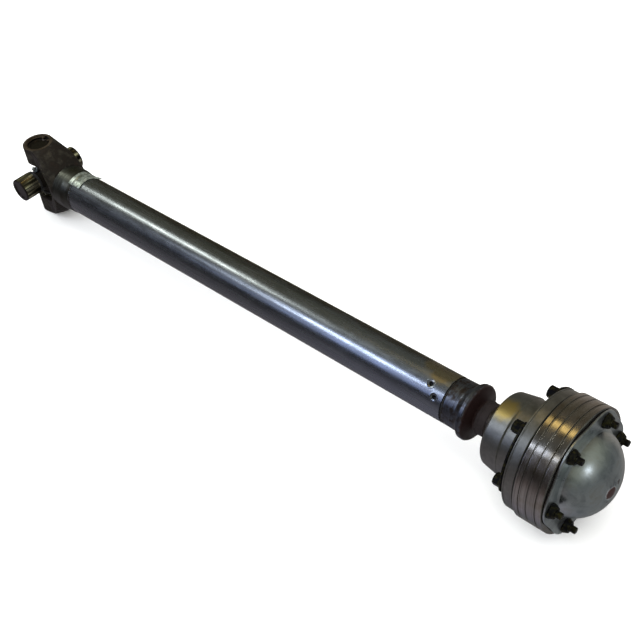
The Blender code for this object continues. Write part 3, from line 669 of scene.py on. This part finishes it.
def makeBead(name, bead, material, slot, node):
    # a weld run: across it the radius is foot plus crown times a half sine, and along it curved ripples follow
    # sin(count * angle + bend * across squared), with waves for the welder's hand
    across = np.linspace(0, 1, 25)[:, None]
    angles = ringAngles(720)[None, :]
    x = bead["left"] + across * (bead["right"] - bead["left"]) + 0 * angles
    arch = np.sin(np.pi * across) ** 0.7
    pitch = bead["count"] * angles + bead["bend"] * (2 * across - 1) ** 2
    radius = bead["foot"] + arch * (bead["crown"] + bead["ripple"] * (np.abs(np.sin(pitch / 2)) - 0.6))
    points = np.stack([x, radius * np.cos(angles), radius * np.sin(angles)], -1)
    points = scaleRadius(points, arch * 0.1 * waves(points, 9, 12))
    under = points[[-1, 0]].copy()
    points = np.concatenate([points, scaleRadius(under, -bead["deep"])])
    addPiece(name, gridMesh(name, points), material, slot, node, sharp=60)


def makeStrip():
    # the balance weight: a strip's cross section (x, thickness) carried round the shaft; its underside steps down
    # from hub to tube, its trailing edge wanders, and its far end draws out into a lifted tail
    strip = dict(left=-303.9, right=-286.2, thick=1.35, first=53.0, last=121.5, tail=8.5, lift=2.0,
                 welds=[(-294.5, 72), (-294.8, 101)], dent=0.45, dentSize=1.9)
    section = np.array([(x, r, 0.5) for x, r in ((0, 0), (0, 1.0), (1, 1.0), (1, 0))]) * np.array([17.0, 1.3, 1.0])
    outline = refined(rounded(section, 6), np.arange(0.4, 16.8, 0.45))
    wide, thick = outline[:, 0] / 17.0, outline[:, 1] / 1.3
    angle = np.linspace(strip["first"], strip["last"], 190)[:, None]
    far = 1 - ramp(angle, strip["first"], strip["first"] + 15)
    near = ramp(angle, strip["last"] - 3, strip["last"])
    left = strip["left"] + 5.5 * far ** 1.6 + 0.8 * near ** 3
    right = strip["right"] + strip["tail"] * far ** 1.5 - 0.8 * near ** 3 + 0.35 * np.sin(np.radians(angle) * 7)
    x = left + wide * (right - left)
    base = 22.5 + 0.85 * (1 - ramp(x, -299.0, -296.6)) + strip["lift"] * far ** 2 * ramp(wide, 0.2, 1)
    radius = base + thick * (strip["thick"] - 0.35 * ramp(wide, 0.86, 1.0) - 0.5 * far ** 2)
    for weldX, weldAngle in strip["welds"]:
        away = np.hypot(x - weldX, np.radians(angle - weldAngle) * 24)
        radius -= thick * (strip["dent"] * np.exp(-(away / strip["dentSize"]) ** 4)
                           - 0.12 * np.exp(-((away - 2.4) / 0.5) ** 2))
    turn = np.radians(angle) + 0 * x
    points = np.stack([x, radius * np.cos(turn), radius * np.sin(turn)], -1)
    points = scaleRadius(points, 0.05 * waves(points, 7, 14) * thick)
    addPiece("balanceStrip", gridMesh("balanceStrip", points, closedRows=False), paint["strip"], "strip_steel",
             "balance_weight", sharp=50)


def makeStub():
    # one turned shape: a spigot in the tube, the flared collar, a neck, and a splined end whose radius drops by the
    # tooth depth between the teeth
    stub = dict(teeth=16, depth=1.2, splineFrom=331.5, grooveFrom=351.1, grooveTo=352.7)
    corners = [(204, 8, 0), (204, 18.4, 0.8), (207, 19.8, 1), (228.8, 19.8, 0.2), (228.8, 22.2, 0.7), (241.9, 22.45, 6),
               (244.6, 23.8, 3), (247.2, 26.0, 2.0), (250.9, 26.3, 1.4), (252.6, 25.2, 0.8), (253.0, 23.6, 1.0),
               (254.6, 17, 1.6), (255.8, 13.0, 1.4), (326, 13.0, 0.6), (328.4, 11, 0.6), (331, 11, 0.2),
               (331.6, 12.2, 0.2), (351.1, 12.2, 0.1), (351.1, 10.4, 0.1), (352.7, 10.4, 0.1), (352.7, 12.2, 0.1),
               (354, 12.1, 0.4), (354, 6, 0)]
    outline = refined(rounded(corners, 7), np.arange(229, 352, 1.4))
    points = turned(outline, ringAngles(256))
    along, radius, turn = polar(points)
    between = 0.5 - 0.5 * np.clip(2.5 * np.cos(np.radians(turn) * stub["teeth"]), -1, 1)
    growth = -stub["depth"] * between * ramp(along, stub["splineFrom"] - 0.2, stub["splineFrom"]) * (radius > 11.5)
    collar = ramp(along, 229, 232) * (1 - ramp(along, 251, 253))
    points = scaleRadius(points, growth + 0.025 * collar * waves(points, 11, 16))
    addPiece("stubShaft", gridMesh("stubShaft", points, closedRows=False), paint["collar"], "stub_forging",
             "stub_shaft", sharp=38)


def makeBoot():
    # a bell of revolution with three soft folds that grow towards its wide end, a sleeve under a pinched band, and
    # a bead at the sleeve's mouth
    boot = dict(fold=0.35, folds=3, foldFrom=282, foldTo=314)
    corners = [(258.5, 13.3, 0.1), (258.5, 15.9, 0.8), (260.4, 16.3, 0.7), (262.0, 15.7, 0.8), (268.2, 15.8, 0.3),
               (268.6, 15.3, 0.2), (275.4, 15.3, 0.2), (275.8, 16.0, 0.6), (284, 17.6, 6), (294, 20.6, 8),
               (308, 24.4, 8), (318, 26.0, 0.6), (318, 23.6, 0.6), (306, 21.6, 8), (292, 17.4, 8), (277, 13.3, 1)]
    outline = refined(rounded(corners, 7), np.arange(259, 318, 1.0))
    points = turned(outline, ringAngles(180))
    along = points[..., 0]
    part = np.clip((along - boot["foldFrom"]) / (boot["foldTo"] - boot["foldFrom"]), 0, 1)
    growth = boot["fold"] * np.sin(np.pi * part) * np.sin(part * boot["folds"] * wholeTurn)
    addPiece("bootBell", gridMesh("bootBell", scaleRadius(points, growth)), paint["boot"], "rubber", "rubber_boot",
             sharp=40)

    band = dict(ear=300, earHeight=1.1, earWidth=9)
    corners = [(268.9, 15.55, 0.15), (268.9, 16.4, 0.3), (275.1, 16.4, 0.3), (275.1, 15.55, 0.15)]
    points = turned(refined(rounded(corners), np.arange(269.5, 275, 0.6)), ringAngles(288))
    _, radius, turn = polar(points)
    away = (turn % 360 - band["ear"]) / band["earWidth"]
    pinch = np.exp(-(away * 1.3) ** 4) * (1 - 0.25 * np.exp(-(away * 3) ** 2))
    growth = band["earHeight"] * pinch * (radius > 15.9) + 0.12 * (np.abs(away) > 1.2) * (radius > 15.9) * (
        np.abs(points[..., 0] - 272) < 1.2)
    addPiece("bootBand", gridMesh("bootBand", scaleRadius(points, growth)), paint["spring"], "spring_steel",
             "boot_clamp", sharp=40)


makeTube()
makeYoke()
makeBead("yokeWeld", dict(left=-301.0, right=-297.4, foot=22.0, crown=1.0, ripple=0.35, count=64, bend=2.4, deep=1.9),
         paint["weld"], "weld_bead", "yoke_weld")
makeBead("stubWeld", dict(left=226.8, right=228.6, foot=21.2, crown=0.35, ripple=0.15, count=80, bend=2.0, deep=1.0),
         paint["weld"], "weld_bead", "stub_weld")
makeStrip()
makeStub()
makeBoot()
print("shaft made")


# ---- cross and caps ----
def makeCross():
    # the cross is the CAD body relaxed to a forging; its trunnions keep their ground radius
    cross = dict(voxel=0.5, rounds=6, rough=0.06)
    mesh = castCopy("crossForging", "journal_cross", cross["voxel"], cross["rounds"])
    points, normals = readPoints(mesh)
    reach = np.abs(points - np.array([crossX, 0, 0])).max(1)
    points += normals * (cross["rough"] * waves(points, 6, 20) * (1 - ramp(reach, 15, 17)))[:, None]
    writePoints(mesh, points)
    addPiece("crossForging", mesh, paint["forged"], "forged_black", "journal_cross", sharp=50)

    nipple = [(16.6, 0.9, 0), (16.6, 2.6, 0.1), (18.3, 2.6, 0.2), (18.5, 3.4, 0.3), (20.2, 3.4, 0.3), (20.4, 2.0, 0.3),
              (22.0, 1.7, 0.4), (22.8, 2.35, 0.5), (23.6, 1.9, 0.5), (24.3, 1.0, 0.3), (24.3, 0.4, 0)]
    outline = rounded(nipple, 5)
    points = turned(outline, ringAngles(96))
    _, radius, turn = polar(points)
    sixth = (turn % 60) - 30
    flats = np.minimum(radius, 2.95 / np.cos(np.radians(sixth)))
    points = scaleRadius(points, np.where(np.abs(points[..., 0] - 19.35) < 1.0, flats - radius, 0))
    points = aboutTrunnion(points, (0, -1, 1))
    addPiece("greaseNipple", gridMesh("greaseNipple", points, closedRows=False), paint["zinc"], "zinc_plate",
             "grease_nipple", sharp=35)


def makeCap(label, direction):
    # a drawn cup turned about its trunnion, its open rim rounded and its closed end coined with a shallow dish,
    # and the lipped rubber seal that covers its mouth
    cup = [(37.9, 0.4, 0), (37.9, 11.4, 0.8), (21.2, 11.4, 0.3), (21.2, 13.1, 0.3), (21.9, 13.5, 0.4),
           (40.9, 13.5, 1.3), (40.9, 9.8, 0.6), (39.9, 9.2, 0.6), (39.9, 0.4, 0)]
    points = aboutTrunnion(turned(refined(rounded(cup, 8), np.arange(22, 40, 1.5)), ringAngles(180)), direction)
    addPiece("bearingCap" + label, gridMesh("bearingCap", points, closedRows=False), paint["cap"], "bearing_steel",
             "bearing_cap_" + label.lower(), sharp=40)
    lip = [(17.6, 8.75, 0.2), (17.6, 12.2, 0.5), (18.3, 13.15, 0.5), (19.0, 12.7, 0.4), (19.7, 13.2, 0.4),
           (20.3, 13.1, 0.4), (20.9, 12.5, 0.4), (20.9, 8.75, 0.2)]
    points = aboutTrunnion(turned(rounded(lip, 5), ringAngles(144)), direction)
    addPiece("journalSeal" + label, gridMesh("journalSeal", points), paint["seal"], "rubber",
             "journal_seal_" + label.lower(), sharp=40)


def makeSnapRing(label, direction):
    # an open spring ring: its section follows an arc from gap to gap, and its inner edge swells into a lug with a
    # rounded outline at each end
    ring = dict(gap=18, low=41.3, high=42.55, inner=12.4, outer=14.5, lug=2.6, lugArc=11)
    angle = np.linspace(ring["gap"], 360 - ring["gap"], 260)[:, None]
    section = rounded([(0, 0, 0.3), (0, 1, 0.3), (1, 1, 0.3), (1, 0, 0.3)], 4)
    toEnd = np.minimum(angle - ring["gap"], 360 - ring["gap"] - angle) / ring["lugArc"]
    lug = ring["lug"] * np.sqrt(np.clip(1 - (2 * np.clip(toEnd, 0, 1) - 1) ** 2, 0, 1))
    inner = ring["inner"] - lug
    x = ring["low"] + section[:, 0] * (ring["high"] - ring["low"]) + 0 * angle
    radius = inner + section[:, 1] * (ring["outer"] - inner)
    turn = np.radians(angle)
    points = np.stack([x, radius * np.cos(turn), radius * np.sin(turn)], -1)
    addPiece("snapRing" + label, gridMesh("snapRing", aboutTrunnion(points, direction), closedRows=False),
             paint["ear"], "spring_steel", "snap_ring_" + label.lower(), sharp=40)


makeCross()
for label, direction in (("Upper", (0, 0, 1)), ("Lower", (0, 0, -1)), ("Front", (0, -1, 0)), ("Rear", (0, 1, 0))):
    makeCap(label, direction)
for label, direction in (("Upper", (0, 0, 1)), ("Lower", (0, 0, -1))):
    makeSnapRing(label, direction)
print("cross and caps made")


# ---- ball joint ----
def makeRace():
    # outside: four turned bands; inside: at each station and angle, the larger of the bore's
    # sphere and the eight ball tracks, which are found by halving the interval where the track's ring is crossed
    race = dict(sphere=31.4, circle=29.0, track=7.74, balls=8, half=13.8)
    low, high = raceX - race["half"], raceX + race["half"]
    corners = [(low, 33, 0), (low, 56.6, 0.2), (low + 0.6, 57.2, 0.5), (332.7, 57.2, 0.22), (333.1, 56.2, 0.3),
               (333.9, 56.2, 0.3), (334.3, 57.2, 0.22), (340.1, 57.2, 0.22), (340.5, 56.2, 0.3), (341.3, 56.2, 0.3),
               (341.7, 57.2, 0.22), (348.4, 57.2, 0.22), (348.8, 56.1, 0.3), (349.6, 56.1, 0.3), (350.0, 57.2, 0.22),
               (high - 0.6, 57.2, 0.5), (high, 56.6, 0.3), (high, 33, 0)]
    outline = rounded(corners, 5)
    angles = ringAngles(480)
    outside = turned(outline, angles)
    dx = np.linspace(high - 0.01, low + 0.01, 41)[:, None] - raceX
    sphere = np.sqrt(race["sphere"] ** 2 - dx ** 2) + 0 * angles
    off = (angles + np.pi / race["balls"]) % (wholeTurn / race["balls"]) - np.pi / race["balls"]
    near, away = sphere.copy(), sphere + 9
    def beyond(radius):
        return (np.hypot(dx, radius * np.cos(off)) - race["circle"]) ** 2 + (radius * np.sin(off)) ** 2 - race["track"] ** 2
    inTrack = beyond(near) < 0
    for _ in range(30):
        middle = (near + away) / 2
        low_ = beyond(middle) < 0
        near, away = np.where(low_, middle, near), np.where(low_, away, middle)
    radius = np.where(inTrack, near, sphere)
    inside = np.stack([dx + raceX + 0 * angles, radius * np.cos(angles), radius * np.sin(angles)], -1)
    piece = addPiece("outerRace", gridMesh("outerRace", np.concatenate([outside, inside])), paint["race"],
                     "machined_steel", "outer_race", sharp=35)
    drillHoles(piece, 4.4, 320, 370)


def makeCan():
    # a pressed can: a rolled mouth, a flared wall, a step, and a thick flange with a narrow turned rim
    corners = [(278.2, 31.2, 0.4), (278.2, 32.7, 0.9), (279.7, 34.2, 1.6), (296.4, 37.2, 1.3), (297.6, 36.4, 0.8),
               (313.6, 37.1, 1.6), (315.9, 39.6, 1.4), (315.9, 54.6, 0.3), (316.3, 55.0, 0.3), (317.3, 55.0, 0.2),
               (317.6, 54.5, 0.2), (318.1, 54.5, 0.2), (318.4, 55.05, 0.2), (325.7, 55.2, 0.4), (326.2, 54.7, 0.3),
               (326.2, 36.5, 0.3), (315.9, 35.2, 2), (297.2, 34.4, 2), (281.2, 32.2, 0.8), (280.4, 31.2, 0.4)]
    outline = refined(rounded(corners, 6), np.arange(279, 326, 1.5))
    points = turned(outline, ringAngles(300))
    points = scaleRadius(points, 0.04 * waves(points, 16, 24) * (points[..., 0:1] < 314)[..., 0])
    piece = addPiece("bootCan", gridMesh("bootCan", points), paint["can"], "zinc_plate", "boot_can", sharp=38)
    drillHoles(piece, 4.4, 300, 340)


def makeGaskets():
    # flat rings cut to the flanges, a little uneven at their outer edge
    for name, node, low, high, radius, lobe in (("canGasket", "can_gasket", 326.5, 327.3, 53.6, 0),
                                                ("domeGasket", "dome_gasket", 355.5, 356.1, 56.0, 1.0)):
        corners = [(low, 40.5, 0.1), (low, radius, 0.2, lobe), (high, radius, 0.2, lobe), (high, 40.5, 0.1)]
        points = turned(rounded(corners, 4), ringAngles(300))
        points = scaleRadius(points, 0.12 * waves(points, 7, 26) * (points[..., 0] > 0))
        piece = addPiece(name, gridMesh(name, points), paint["paper"], "gasket_paper", node)
        drillHoles(piece, 4.4, low - 5, high + 5)


def makeDome():
    # a pressed shell: an ellipse turned about X, (base + height sin t, radius cos t), with the same ellipse one sheet
    # smaller inside, on a flange lobed round the bolts
    dome = dict(base=353.2, height=32.9, radius=39.5, sheet=1.5, top=386.1)
    def shell(less, count, first):
        t = np.linspace(first, np.pi / 2 - 0.012, count)
        return np.column_stack([dome["base"] + (dome["height"] - less) * np.sin(t), (dome["radius"] - less) * np.cos(t)])
    outer, inner = shell(0, 60, 0.19), shell(dome["sheet"], 60, 0.12)[::-1]
    flange = rounded([(inner[-1][0], inner[-1][1], 0), (356.4, 37.4, 0.3), (356.4, 56.7, 0.3, 1.0),
                      (357.9, 56.7, 0.6, 1.0), (357.9, 40.6, 1.1), (outer[0][0], outer[0][1], 0)], 7)[1:-1]
    flat = np.zeros((60, 1))
    outline = np.vstack([np.hstack([inner, flat]), flange, np.hstack([outer, flat])])
    points = turned(outline, ringAngles(360))
    points[..., 0] += 0.05 * (waves(points, 14, 28) - 1) * ramp(points[..., 0], 366, 372)
    piece = addPiece("domeCap", gridMesh("domeCap", points, closedRows=False), paint["dome"], "zinc_plate", "dome_cap",
                     sharp=35)
    drillHoles(piece, 4.4, 340, 372)


def makeBolts():
    # hex head: the radius is the smaller of the hexagon's, apothem / cos(angle from the flat's middle), and a
    # chamfer cone's; thread: 4 mm less a sawtooth of (x / pitch - turn); then a plain dog point
    bolt = dict(head=305.2, under=313.2, apothem=5.02, chamfer=4.9, slope=1.7, radius=4.0, pitch=1.25, depth=0.5,
                threadFrom=338.0, threadTo=363.4, dog=3.0, tip=368.7)
    angles = ringAngles(72)
    headX = np.array([0, 0.01, 0.12, 0.3, 0.5, 0.7, 0.95, 4.0, 7.6, 7.9, 8.0]) + bolt["head"]
    headLimit = np.array([3.2, 3.9, 4.4, 5.0, 5.4, 5.8, 7, 7, 7, 5.7, 5.4])
    headRows = np.minimum(bolt["apothem"] / np.cos((angles % (wholeTurn / 6)) - wholeTurn / 12), headLimit[:, None])
    threadX = np.concatenate([[bolt["under"], bolt["under"] + 0.3], np.arange(325, bolt["threadFrom"], 4),
                              np.arange(bolt["threadFrom"], bolt["threadTo"], 0.16)])
    tooth = np.abs(((threadX[:, None] / bolt["pitch"] - angles / wholeTurn) % 1) * 2 - 1)
    cut = ramp(threadX, bolt["threadFrom"] - 0.1, bolt["threadFrom"] + 1) [:, None]
    threadRows = bolt["radius"] - bolt["depth"] * cut * (1 - tooth)
    dogX = np.array([363.6, 364.1, 364.4, 368.0, 368.3, 368.6, 368.7])
    dogRows = np.array([3.5, 3.05, 3.0, 3.0, 2.9, 2.6, 2.2])[:, None] + 0 * angles
    x = np.concatenate([headX, threadX, dogX])[:, None]
    radius = np.concatenate([headRows, threadRows, dogRows])
    sleeve = dict(foot=358.2, rim=6.8, top=363.2, neck=5.0, bore=4.35)
    cone = rounded([(sleeve["foot"], sleeve["bore"], 0.1), (sleeve["foot"], sleeve["rim"], 0.3),
                    (sleeve["foot"] + 1.1, sleeve["rim"] - 0.05, 0.4), (sleeve["top"], sleeve["neck"] + 0.1, 0.6),
                    (sleeve["top"], sleeve["bore"], 0.15)], 6)
    for index, (y, z) in enumerate(zip(*boltPlaces()), 1):
        turn = angles + index                                   # each head stops at its own angle
        shape = np.stack([x + 0 * radius, y + radius * np.cos(turn), z + radius * np.sin(turn)], -1)
        addPiece(f"flangeBolt{index}", gridMesh("flangeBolt", shape, closedRows=False), paint["oxide"], "black_oxide",
                 f"flange_bolt_{index}", sharp=30)
        shape = turned(cone, ringAngles(64)) + np.array([0, y, z])
        addPiece(f"boltSleeve{index}", gridMesh("boltSleeve", shape), paint["oxide"], "black_oxide",
                 f"bolt_sleeve_{index}", sharp=38)


def makeRetainers():
    # a curved plate under each pair of heads: the band between two radii closes in a half round beyond the bolts
    plate = dict(left=313.55, right=315.6, middle=48.8, half=6.7, overhang=8.0)
    for index in range(3):
        first = joint["phase"] + index * 120
        middle, reach = first + 30, 30 + plate["overhang"]
        angle = middle + reach * np.sin(np.linspace(-np.pi / 2, np.pi / 2, 160))[:, None]
        beyond = np.clip((np.abs(angle - middle) - 30) / plate["overhang"], 0, 1)
        width = plate["half"] * np.sqrt(np.clip(1 - beyond ** 2, 0.0004, 1))
        section = rounded([(0, -1, 0.14), (0, 1, 0.14), (1, 1, 0.14), (1, -1, 0.14)], 4)
        x = plate["left"] + section[:, 0] * (plate["right"] - plate["left"]) + 0 * angle
        radius = plate["middle"] + section[:, 1] * width
        turn = np.radians(angle)
        points = np.stack([x, radius * np.cos(turn), radius * np.sin(turn)], -1)
        piece = addPiece(f"boltRetainer{index + 1}", gridMesh("boltRetainer", points, closedRows=False), paint["oxide"],
                         "black_oxide", f"bolt_retainer_{index + 1}", sharp=40)
        drillHoles(piece, 4.4, 300, 330)


makeRace()
makeCan()
makeGaskets()
makeDome()
makeBolts()
makeRetainers()
for node, finish in (("inner_race", "race"), ("race_snap_ring", "spring"), ("ball_cage", "spring"),
                     *((f"cv_ball_{i}", "ground") for i in range(1, 9)),
                     *((f"needle_ring_{side}", "ground") for side in ("upper", "lower", "front", "rear"))):
    for slot in frame["nodes"][node].material_slots:
        slot.material = paint[finish]
print("ball joint made")


# ---- floor, light and camera ----
stage = dict(floor="#f4f4f2", near=(327.6, -57.2), far=(-386.1, -43.6), size=6000)
slope = (stage["near"][1] - stage["far"][1]) / (stage["near"][0] - stage["far"][0])
edge = stage["size"]
corners = [[(-edge, -edge), (-edge, edge)], [(edge, -edge), (edge, edge)]]
plane = np.array([[(x, y, stage["near"][1] + slope * (x - stage["near"][0])) for x, y in row] for row in corners])
floorMesh = bpy.data.meshes.new("floor")
floorMesh.from_pydata((plane.reshape(-1, 3) * mm).tolist(), [], [(0, 2, 3, 1)])
floor = bpy.data.objects.new("floor", floorMesh)
bpy.context.scene.collection.objects.link(floor)
floor.visible_glossy = False
board, _, shader, _ = startMaterial("paleBoard", 0.0, 0.9)
shader.inputs["Base Color"].default_value = hexColor(stage["floor"])
shader.inputs["Specular IOR Level"].default_value = 0.0
floorMesh.materials.append(board)

# the room: white for the floor and matt pieces; what steel mirrors is a dim studio. Along the shaft it is set by
# the angle on the tube at which it is mirrored, (angle - 18) / 180 on the ramp, and round the dome by height
world = bpy.data.worlds.new("room")
bpy.context.scene.world = world
world.use_nodes = True
tree = world.node_tree
room = tree.nodes["Background"]
heading = addNode(tree, "SeparateXYZ", links={0: addNode(tree, "TexCoord").outputs["Generated"]}).outputs
lean = addNode(tree, "Math", values={1: -1.0}, links={0: heading["Y"]}, operation="MULTIPLY").outputs[0]
around = addNode(tree, "Math", links={0: lean, 1: heading["Z"]}, operation="ARCTAN2").outputs[0]
around = addNode(tree, "MapRange", values={"From Min": -np.pi, "From Max": np.pi}, links={"Value": around})


def band(*tones):
    dots = [((angle - 18) / 180, tone) for angle, tone in tones]
    return addNode(tree, "ValToRGB", links={"Fac": around.outputs["Result"]}, dots=dots)


shaftSide = band((18, "#7a767a"), (48, "#5c5950"), (66, "#3a382f"), (84, "#60604b"), (100, "#6c6b58"), (124, "#565652"),
                 (138, "#403f3f"), (150, "#252425"), (162, "#625f64"), (176, "#7f7b81"), (198, "#817d83"))
raceSide = band((18, "#6a6c70"), (54, "#a09890"), (66, "#857c70"), (74, "#6c6453"), (84, "#544b36"), (92, "#443724"),
                (104, "#4c4028"), (114, "#4c4636"), (122, "#55595a"), (130, "#4f4538"), (137, "#3f3223"),
                (145, "#231a13"), (151, "#251c18"), (157, "#635856"), (163, "#948b8d"), (176, "#9f9a9e"),
                (188, "#918d99"), (198, "#6a6e74"))
height = addNode(tree, "MapRange", values={"From Min": -1.0}, links={"Value": heading["Z"]}).outputs["Result"]
domeSide = addNode(tree, "ValToRGB", links={"Fac": height},
                   dots=[(0.0, "#757678"), (0.3, "#6e6d6c"), (0.47, "#4a4e50"), (0.6, "#585c58"), (0.8, "#868978")])
studio = shaftSide.outputs["Color"]
for other, first, last in ((raceSide, -0.45, -0.36), (domeSide, 0.0, 0.4)):
    share = addNode(tree, "MapRange", values={"From Min": first, "From Max": last}, links={"Value": heading["X"]})
    studio = addNode(tree, "MixRGB", links={"Color1": studio, "Color2": other.outputs["Color"],
                                            "Fac": share.outputs["Result"]}).outputs["Color"]
mirrored = addNode(tree, "LightPath").outputs["Is Glossy Ray"]
white = (1.8, 1.8, 1.8, 1)
look = addNode(tree, "MixRGB", values={"Color1": white}, links={"Color2": studio, "Fac": mirrored})
tree.links.new(look.outputs["Color"], room.inputs["Color"])

lamps = dict(
    shaftLamp=dict(at=(-0.145, 0, 0), way=(-0.66, -0.085, 0.745), away=2.3, size=0.36, power=6.3, color="#fbfff6"),
    coolLamp=dict(at=(0.09, 0, 0), way=(-0.52, -0.555, 0.65), away=2.2, size=0.36, power=6.2, color="#e2ecff"),
    coolGlow=dict(at=(0.11, 0, 0), way=(-0.51, -0.75, 0.44), away=2.2, size=0.6, power=2.1, color="#c2d2ff"),
    streakLamp=dict(at=(0.35, 0, 0), way=(-0.33, -0.58, 0.745), away=1.8, size=0.24, power=0.75, color="#e4eeff"),
    warmLamp=dict(at=(0.34, 0, 0), way=(-0.33, 0.175, 0.925), away=2.0, size=0.38, power=1.05, color="#ffdc88"),
    domeLamp=dict(at=(0.37, -0.02, 0.02), way=(0.79, -0.21, 0.54), away=1.6, size=0.27, power=1.9, color="#eef4ff"))
for name, lamp in lamps.items():
    light = bpy.data.lights.new(name, "AREA")
    light.size = lamp["size"]
    light.energy = lamp["power"]
    light.color = hexColor(lamp["color"])[:3]
    holder = bpy.data.objects.new(name, light)
    way = Vector(lamp["way"]).normalized()
    holder.location = Vector(lamp["at"]) + way * lamp["away"]
    holder.rotation_euler = way.to_track_quat("Z", "Y").to_euler()
    bpy.context.scene.collection.objects.link(holder)

# the camera looks down from over the ball joint's near side
view = dict(place=(0.6424, -0.4996, 0.7075), right=(0.7270, 0.6772, -0.1133), up=(-0.4037, 0.5551, 0.7273),
            ahead=(-0.5554, 0.4830, -0.6769), lens=61.875, sensor=36.0)
camera = bpy.data.objects.new("camera", bpy.data.cameras.new("camera"))
camera.data.lens = view["lens"]
camera.data.sensor_width = view["sensor"]
facing = Matrix((view["right"], view["up"], [-a for a in view["ahead"]])).transposed()
camera.matrix_world = Matrix.Translation(view["place"]) @ facing.to_4x4()
bpy.context.scene.collection.objects.link(camera)
bpy.context.scene.camera = camera
bpy.context.scene.view_settings.view_transform = "Standard"
print("stage made")

bpy.context.view_layer.update()
